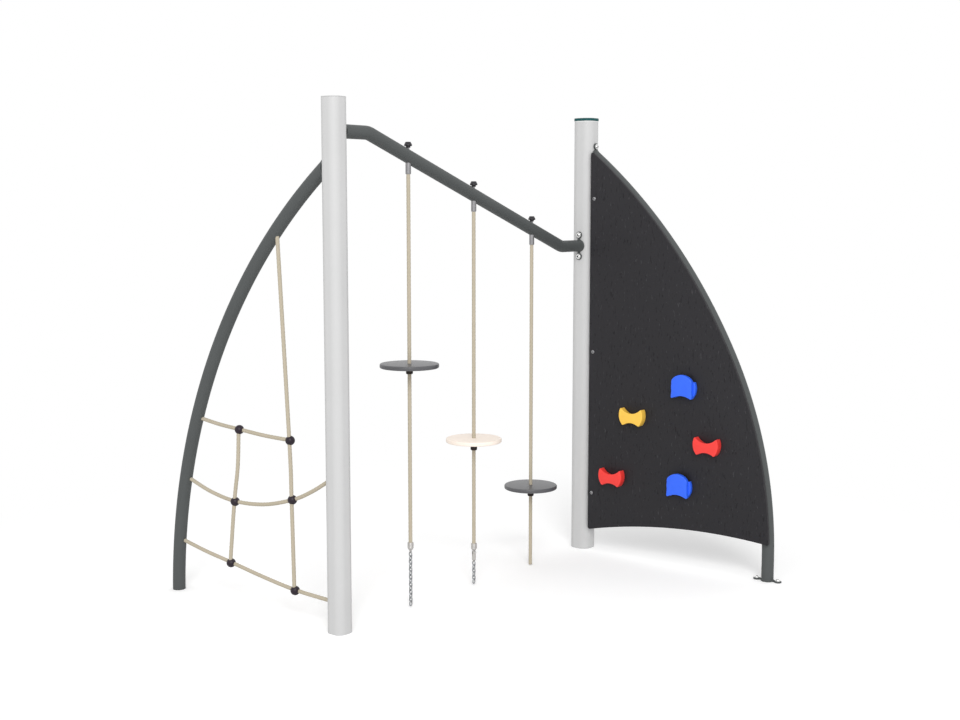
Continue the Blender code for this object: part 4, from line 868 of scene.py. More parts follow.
# Rope terminals and cap nuts
# Swaged aluminium ferrules hang through the crossbar, each held by its stud and a black moulded
# cap nut on top. The ropes come out of their rounded mouths.
TERMINAL_RADIUS = 0.0125
TERMINAL_BELOW_BAR = 0.078   # from the crossbar's axis to the mouth
TERMINAL_EDGE_ROUND = 0.003
STUD_RADIUS = 0.006
CAP_NUT_RADIUS = 0.018
CAP_NUT_STEM = 0.008         # height of the stem below the skirt
CAP_NUT_STEM_RADIUS = 0.0105
CAP_NUT_FLARE = 0.002        # height over which the stem widens to the skirt
CAP_NUT_RIM = 0.001          # chamfer of the skirt's lower rim
CAP_NUT_SKIRT = 0.006
CAP_NUT_SKIRT_ROUND = 0.0015
CAP_NUT_SKIRT_DROP = 0.0006  # of that round's centre below the skirt's top
CAP_NUT_TOP_RADIUS = 0.0125
CAP_NUT_TOP_ROUND = 0.0022

# Swaged aluminium is mid grey and satin, drawn evenly by the press.
swaged_metal = make_bare_metal("satin_swaged_aluminium", "a2a1a3", 0.45, 0.06)
# Moulded nylon is black with a clear sheen on its rounded edges.
black_plastic = make_moulded_plastic("black_moulded_nylon", ("201d23", "1b191e"), 0.38)

for number in (1, 2, 3):
    low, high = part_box("rope_terminal_%d" % number)
    hang = Matrix.Translation(((low.x + high.x) / 2, line_y, 0.0))
    mouth = low.z
    axis_z = mouth + TERMINAL_BELOW_BAR
    round_edge = arc_points((TERMINAL_RADIUS - TERMINAL_EDGE_ROUND, mouth + TERMINAL_EDGE_ROUND),
                            TERMINAL_EDGE_ROUND, -pi / 2, 0.0)
    ferrule = lathe([(0.0, mouth)] + round_edge + [(TERMINAL_RADIUS, axis_z),
                    (STUD_RADIUS, axis_z), (STUD_RADIUS, high.z - CHAMFER),
                    (STUD_RADIUS - CHAMFER, high.z), (0.0, high.z)])
    stands_for(settle(moved(ferrule, hang), "ferrule_%d" % number, swaged_metal),
               "swaged_aluminium", "frame", "rope_terminal_%d" % number)
    nut_low, nut_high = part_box("cap_nut_%d" % number)
    bore = STUD_RADIUS + SEAT_GAP
    bore_top = high.z + SEAT_GAP
    skirt_low = nut_low.z + CAP_NUT_STEM
    shoulder = skirt_low + CAP_NUT_SKIRT
    profile = [(0.0, bore_top), (bore, bore_top), (bore, nut_low.z),
               (CAP_NUT_STEM_RADIUS, nut_low.z), (CAP_NUT_STEM_RADIUS, skirt_low - CAP_NUT_FLARE),
               (CAP_NUT_RADIUS - CAP_NUT_RIM, skirt_low), (CAP_NUT_RADIUS, skirt_low + CAP_NUT_RIM)]
    profile += arc_points((CAP_NUT_RADIUS - CAP_NUT_SKIRT_ROUND, shoulder - CAP_NUT_SKIRT_DROP),
                          CAP_NUT_SKIRT_ROUND, 0.0, pi / 3, 3)
    profile += arc_points((CAP_NUT_TOP_RADIUS - CAP_NUT_TOP_ROUND, nut_high.z - CAP_NUT_TOP_ROUND),
                          CAP_NUT_TOP_ROUND, pi / 5, pi / 2, 4)
    nut = moved(lathe(profile + [(0.0, nut_high.z)]), hang)
    stands_for(settle(nut, "nut_cap_%d" % number, black_plastic), "black_plastic", "frame",
               "cap_nut_%d" % number)

# Net arch
# One length of the crossbar's tube, bent to an even curve from its flange on the front post down
# into the ground, in the same dark grey coat.
TUBE_WALL = 0.0036
GROUND_BORE = 0.050          # depth of the tube's open end that is made
ARCH_STEPS = 72


def trim_at(bm, point, away):
    """Cut off what lies on a plane's far side, and return the face that closes the cut."""
    bmesh.ops.bisect_plane(bm, geom=bm.verts[:] + bm.edges[:] + bm.faces[:], plane_co=point,
                           plane_no=away, clear_outer=True)
    cut_edges = [e for e in bm.edges if e.is_boundary
                 and all(abs((v.co - Vector(point)).dot(Vector(away))) < MERGE_DISTANCE
                         for v in e.verts)]
    return bmesh.ops.contextual_create(bm, geom=cut_edges)["faces"]


net_top_turn = atan2(net_top[1] - net_centre.y, net_top[0] - net_centre.x)
net_foot_turn = atan2(-net_centre.y, NET_ARCH_FOOT - net_centre.x)
spare = TUBE_DIAMETER / NET_ARCH_RADIUS    # angle past each end, which is cut off
start_turn = net_foot_turn - spare
net_hub = Vector((front_x, line_y + net_centre.x, net_centre.y))
net_face = Vector((front_x, line_y + front_half + SEAT_GAP, net_top[1]))
net_tube = bmesh.new()
start = net_hub + NET_ARCH_RADIUS * Vector((0.0, cos(start_turn), sin(start_turn)))
ring = ring_of_edges(net_tube, start, (start - net_hub).cross(Vector((1, 0, 0))), tube_radius)
bend_on(net_tube, ring, net_hub, (1, 0, 0), net_top_turn - net_foot_turn + 2 * spare, ARCH_STEPS)
trim_at(net_tube, net_face + Vector((0.0, FLANGE_THICKNESS / 2, 0.0)), (0, -1, 0))
mouth = trim_at(net_tube, (0, 0, 0), (0, 0, -1))
bmesh.ops.inset_individual(net_tube, faces=mouth, thickness=TUBE_WALL, use_even_offset=True)
bored = bmesh.ops.extrude_discrete_faces(net_tube, faces=mouth)["faces"]
bmesh.ops.translate(net_tube, vec=(0.0, 0.0, GROUND_BORE), verts=bored[0].verts)
join_in(net_tube, flange_shape(pi / 2 - net_top_turn), axes(net_face, (-1, 0, 0), UP))
stands_for(settle(net_tube, "net_arch_tube", dark_coat, seat_painted_shade), "dark_grey_coating",
           "frame", "net_arch")

# Net balls
# Glossy black nylon shells, moulded in two halves that meet on the net's plane and clamp the
# ropes where they cross.
BALL_SEAM = 0.0004

# A polished mould leaves the nylon smooth: near-black with a soft highlight on each ball's top.
gloss_plastic = make_moulded_plastic("glossy_black_nylon", ("2a1f2a", "221a22"), 0.42,
                                     depth=0.00004, sheen=0.32)

for level in ("high", "mid", "low"):
    for place in ("inner", "outer"):
        name = "net_ball_%s_%s" % (level, place)
        low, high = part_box(name)
        radius = (high.z - low.z) / 2
        lip = asin(BALL_SEAM / radius)
        half = arc_points((0.0, 0.0), radius, -pi / 2, -lip, 12)
        other = [(r, -h) for r, h in reversed(half)]
        ball = moved(lathe(half + [(radius - BALL_SEAM, 0.0)] + other),
                     facing(box_middle(name), (1, 0, 0)))
        stands_for(settle(ball, name + "_shell", gloss_plastic), "black_plastic", "frame", name)

# Panel arch
# The same tube with a short upright leg on a bolted foot plate, then two bends up to its flange
# on the rear post. Two lugs for the panel are welded inside its curve.
WALL_ARCH_FOOT = 1.099
WALL_ARCH_LEG = 0.1185
WALL_ARCH_LOWER_RADIUS = 2.220
WALL_ARCH_LOWER_SWEEP = radians(26.9)
WALL_ARCH_BELOW_TOP = 0.204
LOWER_BEND_STEPS = 36
UPPER_BEND_STEPS = 40

lower_centre = Vector((WALL_ARCH_FOOT - WALL_ARCH_LOWER_RADIUS, WALL_ARCH_LEG))
sweep_way = Vector((cos(WALL_ARCH_LOWER_SWEEP), sin(WALL_ARCH_LOWER_SWEEP)))
junction = lower_centre + WALL_ARCH_LOWER_RADIUS * sweep_way
wall_top = Vector((rear_half + SEAT_GAP + FLANGE_THICKNESS, cad_high.z - WALL_ARCH_BELOW_TOP))
chord = wall_top - junction
upper_radius = chord.length_squared / (-2 * chord.dot(sweep_way))
upper_centre = junction - upper_radius * sweep_way
wall_top_turn = atan2(wall_top.y - upper_centre.y, wall_top.x - upper_centre.x)


def wall_place(distance, height):
    """A point of the panel's side, from its distance to the post line and its height."""
    return Vector((rear_x, line_y - distance, height))


def wall_arch_distance(height):
    """Distance of the arch's axis from the post line at a height."""
    centre, radius = ((upper_centre, upper_radius) if height > junction.y
                      else (lower_centre, WALL_ARCH_LOWER_RADIUS))
    return centre.x + sqrt(radius ** 2 - (height - centre.y) ** 2)


wall_face = wall_place(rear_half + SEAT_GAP, wall_top.y)
wall_tube = bmesh.new()
ring = ring_of_edges(wall_tube, wall_place(WALL_ARCH_FOOT, FLANGE_THICKNESS / 2), UP, tube_radius)
bmesh.ops.contextual_create(wall_tube, geom=ring)
ring = run_on(wall_tube, ring, (0.0, 0.0, WALL_ARCH_LEG - FLANGE_THICKNESS / 2))
ring = bend_on(wall_tube, ring, wall_place(*lower_centre), (-1, 0, 0), WALL_ARCH_LOWER_SWEEP,
               LOWER_BEND_STEPS)
upper_sweep = wall_top_turn - WALL_ARCH_LOWER_SWEEP + TUBE_DIAMETER / upper_radius
bend_on(wall_tube, ring, wall_place(*upper_centre), (-1, 0, 0), upper_sweep, UPPER_BEND_STEPS)
trim_at(wall_tube, wall_face + Vector((0.0, -FLANGE_THICKNESS / 2, 0.0)), (0, 1, 0))
join_in(wall_tube, flange_shape(pi / 2 - wall_top_turn), axes(wall_face, (1, 0, 0), UP))
join_in(wall_tube, flange_shape(), axes(wall_place(WALL_ARCH_FOOT, 0.0), (1, 0, 0), (0, 1, 0)))
for place in ("lower", "upper"):
    bolt = "panel_back_bolt_" + place
    add_lug(wall_tube, bolt, line_y - wall_arch_distance(box_middle(bolt).z))
stands_for(settle(wall_tube, "panel_arch_tube", dark_coat, seat_painted_shade), "dark_grey_coating",
           "frame", "panel_arch")

# Climbing panel
# Compact laminate, 18 mm thick and near-black right through, with a fibrous satin face and
# rounded edges. Its lower edge is hollow, and its outer edge follows the arch.
PANEL_POST_GAP = 0.0065
PANEL_OVERHANG = 0.025       # beyond the arch's axis
PANEL_LOW_CORNER = 0.113     # heights of the two lower corners
PANEL_HIGH_CORNER = 0.189
PANEL_EDGE_RISE = 0.045
PANEL_TOP_CORNER_RADIUS = 0.022
PANEL_LOW_CORNER_RADIUS = 0.018
PANEL_HIGH_CORNER_RADIUS = 0.010
PANEL_CORNER_BEVEL = 0.9     # of a corner's bevel over its radius
PANEL_CORNER_NEAR = 0.0005   # vertices this near to a corner's point are that corner's
PANEL_EDGE_ROUND = 0.002
RIM_CREASE = 50.0            # degrees; a flat face's rim turns more, and is rounded
FLECK_SIZE = 0.011           # coarser than the real fibres, so that they show
STREAK_LENGTH = 0.036
LIGHT_FLECKS = {"From Min": 0.62, "From Max": 0.73}   # noise where a fleck begins and is full
DARK_FLECKS = {"From Min": 0.59, "From Max": 0.69}
DARK_FLECK_SHIFT = (31.0, 17.0, 5.0)   # of the dark flecks' noise from the light ones'
DARK_FLECK_SCALE = 1.3       # of the dark flecks' noise over the light ones'


def bow_on(bm, vert, end, rise, steps):
    """Draw an arc from a vertex to a point, bulging to the left of its way by a rise."""
    start = vert.co.copy()
    span = Vector(end) - start
    across = Vector((-span.y, span.x, 0.0)).normalized()
    radius = (span.length_squared / 4 + rise ** 2) / (2 * rise)
    centre = (start + Vector(end)) / 2 + across * (rise - radius)
    return arc_on(bm, vert, centre, -4 * atan2(rise, span.length / 2), steps)


def make_panel_laminate():
    """Near-black laminate: sparse upright streaks and flecks, light and dark, in a satin face."""
    material = blank_material("black_compact_laminate")
    surface = add_node(material, "ShaderNodeTexCoord")
    drawn = add_node(material, "ShaderNodeMapping",
                     {"Scale": (1 / FLECK_SIZE, 1 / FLECK_SIZE, 1 / STREAK_LENGTH)},
                     {"Vector": (surface, "Object")})
    light = add_node(material, "ShaderNodeTexNoise",
                     {"Scale": 1.0, "Detail": 3.0, "Roughness": 0.6}, {"Vector": (drawn, "Vector")})
    away = add_node(material, "ShaderNodeVectorMath", {"Vector_001": DARK_FLECK_SHIFT},
                    {"Vector": (drawn, "Vector")}, operation="ADD")
    dark = add_node(material, "ShaderNodeTexNoise",
                    {"Scale": DARK_FLECK_SCALE, "Detail": 3.0, "Roughness": 0.6},
                    {"Vector": (away, "Vector")})
    light_share = add_node(material, "ShaderNodeMapRange", LIGHT_FLECKS, {"Value": (light, "Fac")})
    dark_share = add_node(material, "ShaderNodeMapRange", DARK_FLECKS, {"Value": (dark, "Fac")})
    streaked = add_node(material, "ShaderNodeMix",
                        {"A_Color": linear("2a292c"), "B_Color": linear("3e3d40")},
                        {"Factor_Float": (light_share, "Result")}, data_type="RGBA")
    colour = add_node(material, "ShaderNodeMix", {"B_Color": linear("1b1a1d")},
                      {"A_Color": (streaked, "Result_Color"),
                       "Factor_Float": (dark_share, "Result")}, data_type="RGBA")
    gloss = add_node(material, "ShaderNodeMapRange", {"To Min": 0.42, "To Max": 0.58},
                     {"Value": (light, "Fac")})
    bump = add_node(material, "ShaderNodeBump", {"Strength": 0.3, "Distance": 0.0003},
                    {"Height": (light, "Fac")})
    return close_material(material, {"Specular IOR Level": 0.22},
                          {"Base Color": (colour, "Result_Color"), "Roughness": (gloss, "Result"),
                           "Normal": (bump, "Normal")})


panel_near = rear_half + PANEL_POST_GAP
outer_lower = WALL_ARCH_LOWER_RADIUS + PANEL_OVERHANG
outer_upper = upper_radius + PANEL_OVERHANG
low_turn = asin((PANEL_HIGH_CORNER - lower_centre.y) / outer_lower)
low_outer = (lower_centre.x + outer_lower * cos(low_turn), PANEL_HIGH_CORNER, 0.0)
top_height = upper_centre.y + sqrt(outer_upper ** 2 - (panel_near - upper_centre.x) ** 2)
top_turn = atan2(top_height - upper_centre.y, panel_near - upper_centre.x)
sheet = bmesh.new()
first = bmesh.ops.create_vert(sheet, co=(panel_near, PANEL_LOW_CORNER, 0.0))["vert"][0]
vert = bow_on(sheet, first, low_outer, PANEL_EDGE_RISE, 24)
vert = arc_on(sheet, vert, (*lower_centre, 0.0), WALL_ARCH_LOWER_SWEEP - low_turn,
              LOWER_BEND_STEPS)
vert = arc_on(sheet, vert, (*upper_centre, 0.0), top_turn - WALL_ARCH_LOWER_SWEEP,
              UPPER_BEND_STEPS)
line_to(sheet, vert, (panel_near, PANEL_LOW_CORNER, 0.0))
bmesh.ops.remove_doubles(sheet, verts=sheet.verts, dist=MERGE_DISTANCE)
fill_and_raise(sheet, panel_high.x - panel_low.x)
for corner, radius in (((panel_near, PANEL_LOW_CORNER), PANEL_LOW_CORNER_RADIUS),
                       (low_outer[:2], PANEL_HIGH_CORNER_RADIUS),
                       ((panel_near, top_height), PANEL_TOP_CORNER_RADIUS)):
    edge = [e for e in sheet.edges
            if all((v.co.xy - Vector(corner)).length < PANEL_CORNER_NEAR for v in e.verts)]
    bmesh.ops.bevel(sheet, geom=edge, offset=radius * PANEL_CORNER_BEVEL, segments=10,
                    profile=0.5, affect="EDGES", material=-1)
soften(sheet, PANEL_EDGE_ROUND, angle=RIM_CREASE)
moved(sheet, axes((panel_high.x, line_y, 0.0), (0, -1, 0), UP))
stands_for(settle(sheet, "panel_board", make_panel_laminate()), "black_panel", "frame",
           "climbing_panel")

# Climbing holds
# Five cast resin holds with soft edges: bow-tie blocks, two of them with a full domed plate in
# front. A steel stud cast into each goes through the panel to a washer and a thin nut.
HOLD_DEPTH = 0.040
HOLD_HALF_HEIGHT = 0.0457
HOLD_TOP_HALF_WIDTH = 0.061
HOLD_FOOT_HALF_WIDTH = 0.048
HOLD_SIDE_BULGE = 0.0155
HOLD_TOP_HOLLOW = 0.0265
HOLD_UNDERCUT = 0.009        # of the top hollow's back edge below its front edge
HOLD_FOOT_HOLLOW = 0.0155
HOLD_DOME_RISE = 0.031
HOLD_EDGE_ROUND = 0.0028
HOLD_CORNER = 0.006          # setback of the rounded corners
DOME_TOP_CORNER = 0.009
DOME_FOOT_CORNER = 0.018
HOLD_STUD_DIAMETER = 0.010
HOLD_WASHER_RADIUS = 0.0115
HOLD_WASHER_THICKNESS = 0.0012
HOLD_NUT_RADIUS = 0.0095     # over its corners
HOLD_NUT_TOP = 0.0045        # height of the thin nut's face over the panel's back
DOME_PLATE = 0.022           # thickness of the domed front plate
DOME_TOP_HALF_WIDTH = 0.059
DOME_FOOT_HALF_WIDTH = 0.0625
DOME_SIDE_HOLLOW = 0.0035
DOME_FOOT_DROP = 0.005       # of its lower corners below the block's
RESIN_GRAIN = 0.0012         # coarser than a moulding's, as fingers need
RESIN_GRAIN_DEPTH = 0.00012
RESIN_TONES = {"blue": ("306cff", "2b65f6"), "yellow": ("ffcf55", "fcc74c"),
               "red": ("f9403a", "f23a34")}


def hold_shape(domed, depth):
    """Bow-tie block with bulging sides, or a domed plate whose sides are slightly hollow."""
    if domed:
        top_half, top_rise, top_corner = DOME_TOP_HALF_WIDTH, HOLD_DOME_RISE, DOME_TOP_CORNER
        foot_half, drop, foot_corner = DOME_FOOT_HALF_WIDTH, DOME_FOOT_DROP, DOME_FOOT_CORNER
        side_rise = -DOME_SIDE_HOLLOW
        top_steps, side_steps, foot_steps = 14, 4, 6
    else:
        top_half, top_rise, top_corner = HOLD_TOP_HALF_WIDTH, -HOLD_TOP_HOLLOW, HOLD_CORNER
        foot_half, drop, foot_corner = HOLD_FOOT_HALF_WIDTH, 0.0, HOLD_CORNER
        side_rise = HOLD_SIDE_BULGE
        top_steps, side_steps, foot_steps = 20, 12, 14
    foot_y = -HOLD_HALF_HEIGHT - drop
    top_left = (-top_half, HOLD_HALF_HEIGHT, 0.0)
    shape = bmesh.new()
    vert = bmesh.ops.create_vert(shape, co=top_left)["vert"][0]
    vert = bow_on(shape, vert, (top_half, HOLD_HALF_HEIGHT, 0.0), top_rise, top_steps)
    vert = bow_on(shape, vert, (foot_half, foot_y, 0.0), side_rise, side_steps)
    vert = bow_on(shape, vert, (-foot_half, foot_y, 0.0), -HOLD_FOOT_HOLLOW - drop, foot_steps)
    bow_on(shape, vert, top_left, side_rise, side_steps)
    bmesh.ops.remove_doubles(shape, verts=shape.verts, dist=MERGE_DISTANCE)
    fill_and_raise(shape, depth)
    if not domed:
        for back in [v for v in shape.verts if v.co.z < 0.5 * depth and v.co.y > 0.0]:
            back.co.y -= HOLD_UNDERCUT * max(0.0, 1 - (back.co.x / top_half) ** 2)
    for at_foot, corner in ((False, top_corner), (True, foot_corner)):
        corners = [e for e in shape.edges
                   if e.is_manifold and e.calc_face_angle() > radians(CREASE)
                   and rises(e, depth) and (e.verts[0].co.y < 0.0) == at_foot]
        bmesh.ops.bevel(shape, geom=corners, offset=corner, segments=6, profile=0.5,
                        affect="EDGES", material=-1)
    soften(shape, HOLD_EDGE_ROUND, 4, RIM_CREASE)
    return shape


def rod_profile(radius, low, high):
    """Outline of a round rod or washer with a chamfered top, for turning."""
    return [(0.0, low), (radius, low), (radius, high - CHAMFER), (radius - CHAMFER, high),
            (0.0, high)]


# Dyed resin is bright and even, with a fine grit that softens its highlights.
resins = {colour: make_moulded_plastic("cast_resin_" + colour, tones, 0.45, RESIN_GRAIN,
                                       RESIN_GRAIN_DEPTH)
          for colour, tones in RESIN_TONES.items()}

for name, domed in (("hold_blue_upper", True), ("hold_yellow", False), ("hold_red_right", False),
                    ("hold_red_left", False), ("hold_blue_lower", True)):
    colour = name.split("_")[1]
    low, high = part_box(name)
    seat = Vector((panel_low.x - SEAT_GAP, box_middle(name).y, low.z + HOLD_HALF_HEIGHT))
    on_panel = axes(seat, (0, -1, 0), UP)
    hold = bmesh.new()
    if domed:
        join_in(hold, hold_shape(False, HOLD_DEPTH - DOME_PLATE + HOLD_EDGE_ROUND), on_panel)
        join_in(hold, hold_shape(True, DOME_PLATE),
                on_panel @ Matrix.Translation((0.0, 0.0, HOLD_DEPTH - DOME_PLATE)))
    else:
        join_in(hold, hold_shape(False, HOLD_DEPTH), on_panel)
    reach = high.x - panel_high.x - SEAT_GAP
    root = seat.x - HOLD_DEPTH / 2 - panel_high.x - SEAT_GAP
    stud = lathe(rod_profile(HOLD_STUD_DIAMETER / 2, root, reach), 24)
    join_in(stud, lathe(rod_profile(HOLD_WASHER_RADIUS, 0.0, HOLD_WASHER_THICKNESS), 32))
    nut = bmesh.new()
    bmesh.ops.create_circle(nut, cap_ends=False, segments=6, radius=HOLD_NUT_RADIUS)
    fill_and_raise(nut, HOLD_NUT_TOP)
    soften(nut, CHAMFER, 2)
    join_in(stud, nut)
    for face in stud.faces:
        face.material_index = 1
    join_in(hold, stud, facing((panel_high.x + SEAT_GAP, seat.y, seat.z), (1, 0, 0)))
    stands_for(settle(hold, name + "_resin", resins[colour], zinc_steel), colour + "_plastic",
               "frame", name)

# Step discs and collars
# Solid rubber discs, 270 mm across, turn on the ropes. Each rests on a black moulded collar
# clamped to the rope below it. The middle disc is cream, the others grey.
DISC_RADIUS = 0.135
DISC_EDGE_ROUND = 0.006
DISC_PARTING = 0.0003        # depth of the moulding line round the rim
DISC_BORE_CHAMFER = 0.001
DISC_SEGMENTS = 96
RUBBER_GRAIN = 0.0015
RUBBER_GRAIN_DEPTH = 0.0001
COLLAR_RADIUS = 0.016
COLLAR_CHAMFER = 0.003
COLLAR_RAISE = (0.006, -0.005, -0.005)   # of each lower end from the solid's
COLLAR_GROOVE_PLACE = 0.4    # share of the collar's height above its groove
COLLAR_GROOVE_HALF = 0.0008
COLLAR_GROOVE_DEPTH = 0.0006
RUNNING_GAP = 0.0005

# Black rubber with a warm cast, duller than the nylon above.
clamp_rubber = make_moulded_plastic("black_clamp_rubber", ("281e1a", "221a17"), 0.55, sheen=0.3)
# The discs' rubber is smooth from its mould: a broad soft sheen on grey, none to speak of on cream.
grey_rubber = make_moulded_plastic("grey_moulded_rubber", ("5b5b5e", "555558"), 0.36, RUBBER_GRAIN,
                                   RUBBER_GRAIN_DEPTH)
cream_rubber = make_moulded_plastic("cream_moulded_rubber", ("fff3e7", "fff0e3"), 0.50,
                                    RUBBER_GRAIN, RUBBER_GRAIN_DEPTH)

for number in (1, 2, 3):
    low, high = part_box("step_disc_%d" % number)
    middle = (low + high) / 2
    hang = Matrix.Translation((middle.x, middle.y, 0.0))
    inner = rope_radius + RUNNING_GAP
    rim = DISC_RADIUS - DISC_EDGE_ROUND
    bore_foot = (inner, low.z + DISC_BORE_CHAMFER)
    profile = [bore_foot, (inner + DISC_BORE_CHAMFER, low.z)]
    profile += arc_points((rim, low.z + DISC_EDGE_ROUND), DISC_EDGE_ROUND, -pi / 2, 0.0)
    profile += [(DISC_RADIUS, middle.z - DISC_PARTING), (DISC_RADIUS - DISC_PARTING, middle.z),
                (DISC_RADIUS, middle.z + DISC_PARTING)]
    profile += arc_points((rim, high.z - DISC_EDGE_ROUND), DISC_EDGE_ROUND, 0.0, pi / 2)
    profile += [(inner + DISC_BORE_CHAMFER, high.z), (inner, high.z - DISC_BORE_CHAMFER), bore_foot]
    disc = moved(lathe(profile, DISC_SEGMENTS), hang)
    rubber, slot = (cream_rubber, "cream_rubber") if number == 2 else (grey_rubber, "grey_rubber")
    stands_for(settle(disc, "rubber_disc_%d" % number, rubber), slot, "disc_%d" % number,
               "step_disc_%d" % number)
    low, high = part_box("disc_collar_%d" % number)
    low.z += COLLAR_RAISE[number - 1]
    bore = rope_radius + SEAT_GAP
    groove = high.z - COLLAR_GROOVE_PLACE * (high.z - low.z)
    collar = lathe([(bore, low.z), (COLLAR_RADIUS - COLLAR_CHAMFER, low.z),
                    (COLLAR_RADIUS, low.z + COLLAR_CHAMFER),
                    (COLLAR_RADIUS, groove - COLLAR_GROOVE_HALF),
                    (COLLAR_RADIUS - COLLAR_GROOVE_DEPTH, groove),
                    (COLLAR_RADIUS, groove + COLLAR_GROOVE_HALF),
                    (COLLAR_RADIUS, high.z - CHAMFER), (COLLAR_RADIUS - CHAMFER, high.z),
                    (bore, high.z), (bore, low.z)])
    stands_for(settle(moved(collar, hang), "rope_collar_%d" % number, clamp_rubber),
               "black_plastic", "rope_%d" % number, "disc_collar_%d" % number)

# Rope sleeves, chains and the connector
# Swaged sleeves close the first two ropes, each with a flat eye below. A galvanised chain hangs
# from the first eye. The second chain hangs from a forked connector, pinned to its eye.
SLEEVE_RADIUS = 0.014
SLEEVE_BORE_DEPTH = 0.028
SLEEVE_SOLID = 0.007         # length of the round body below its bore
SLEEVE_GROOVE = 0.001        # depth of the press's grooves, between bands
SLEEVE_GROOVE_FALL = 2.4 * SLEEVE_GROOVE   # a band's lower edge above the next band
SLEEVE_BAND_LIP = 0.0003
SLEEVE_BAND_ROUND = 0.0006
SLEEVE_BANDS = 4
EYE_ROOT = 0.002             # of an eye's stem inside the body above it
EYE_PLATE_THICKNESS = 0.004
EYE_PLATE_WIDTH = 0.014
EYE_HOLE_GAP = 0.0009
LINK_WIRE = 0.006
LINK_INNER_WIDTH = 0.0084
LINK_PITCH = 0.0178
LINK_BITE = 0.0006           # of each link into the next, where they bear
CHAIN_LINKS = (14, 6)
CONNECTOR_RADIUS = 0.0093
CHEEK_STEP = 0.0002          # of the fork's cheeks in from the barrel
CHEEK_ROOT = 0.001           # of each cheek inside the barrel
CHEEK_CHAMFER = 0.001
CONNECTOR_CHAMFER = 0.0015
PIN_RADIUS = 0.003
PIN_HEAD_RADIUS = 0.005
PIN_HEAD_HEIGHT = 0.003

# The lower sleeves' aluminium is given a paler tone than the terminals'.
bright_sleeve = make_bare_metal("swaged_sleeve_aluminium", "d2cfcc", 0.42, 0.06)
# Hot-dip zinc is cool grey and cloudy: each link has a light side and a dark one.
galvanised = make_bare_metal("hot_dip_galvanised_steel", "b4b6b8", 0.40, 0.08)
# Electroplated zinc on the connector is lighter and warmer, with a soft gloss.
bright_zinc = make_bare_metal("bright_zinc_steel", "d3d0cb", 0.50, 0.06)
wire_hole = LINK_WIRE / 2 + EYE_HOLE_GAP
half_link = (LINK_PITCH - LINK_BITE + LINK_WIRE) / 2


def eye_shape(hole, neck):
    """Flat tab with a round eye about the origin, rising along Y to a neck."""
    half = EYE_PLATE_WIDTH / 2
    shape = lathe([(hole, 0.0), (half - CHAMFER, 0.0), (half, CHAMFER),
                   (half, EYE_PLATE_THICKNESS - CHAMFER), (half - CHAMFER, EYE_PLATE_THICKNESS),
                   (hole, EYE_PLATE_THICKNESS), (hole, 0.0)], 32)
    stem = block((-half, hole, CHAMFER), (half, neck, EYE_PLATE_THICKNESS - CHAMFER))
    join_in(shape, stem)
    return shape


def link_shape():
    """Oblong ring of round wire in the XZ plane."""
    bend = (LINK_INNER_WIDTH + LINK_WIRE) / 2
    straight = half_link - bend
    shape = bmesh.new()
    ring = ring_of_edges(shape, (bend, 0.0, straight), UP, LINK_WIRE / 2, 12)
    for way in (1, -1):
        ring = bend_on(shape, ring, (0.0, 0.0, way * straight), (0, -1, 0), pi, 10)
        ring = run_on(shape, ring, (0.0, 0.0, -2 * way * straight))
    bmesh.ops.remove_doubles(shape, verts=shape.verts, dist=MERGE_DISTANCE)
    return shape


for number in (1, 2):
    low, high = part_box("rope_sleeve_%d" % number)
    hang_x = (low.x + high.x) / 2
    hang = Matrix.Translation((hang_x, line_y, 0.0))
    hole = wire_hole if number == 1 else PIN_RADIUS + SEAT_GAP
    eye_z = low.z + EYE_PLATE_WIDTH / 2
    bore_low = high.z - SLEEVE_BORE_DEPTH
    foot = bore_low - SLEEVE_SOLID
    bore = rope_radius + SEAT_GAP
    profile = [(0.0, bore_low), (bore, bore_low), (bore, high.z),
               (SLEEVE_RADIUS - SLEEVE_GROOVE, high.z)]
    band = SLEEVE_BORE_DEPTH / SLEEVE_BANDS
    for k in range(SLEEVE_BANDS):
        top = high.z - SLEEVE_GROOVE - k * band
        profile += [(SLEEVE_RADIUS - SLEEVE_BAND_LIP, top + SLEEVE_BAND_LIP),
                    (SLEEVE_RADIUS, top - SLEEVE_BAND_ROUND),
                    (SLEEVE_RADIUS, top - band + SLEEVE_GROOVE_FALL),
                    (SLEEVE_RADIUS - SLEEVE_GROOVE, top - band + SLEEVE_GROOVE)]
    sleeve = moved(lathe(profile + [(rope_radius, foot), (0.0, foot)]), hang)
    join_in(sleeve, eye_shape(hole, foot + EYE_ROOT - eye_z),
            axes((hang_x, line_y + EYE_PLATE_THICKNESS / 2, eye_z), (1, 0, 0), UP))
    stands_for(settle(sleeve, "swaged_sleeve_%d" % number, bright_sleeve), "swaged_aluminium",
               "rope_%d" % number, "rope_sleeve_%d" % number)
    first_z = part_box("chain_%d" % number)[1].z - half_link - LINK_WIRE / 2
    chain = bmesh.new()
    for k in range(CHAIN_LINKS[number - 1]):
        middle = Matrix.Translation((hang_x, line_y, first_z - k * LINK_PITCH))
        turn = Matrix.Rotation(pi / 2 if k % 2 == 0 else 0.0, 4, "Z")
        join_in(chain, link_shape(), middle @ turn)
    stands_for(settle(chain, "galvanised_chain_%d" % number, galvanised), "galvanised_steel",
               "chain_%d" % number, "chain_%d" % number)

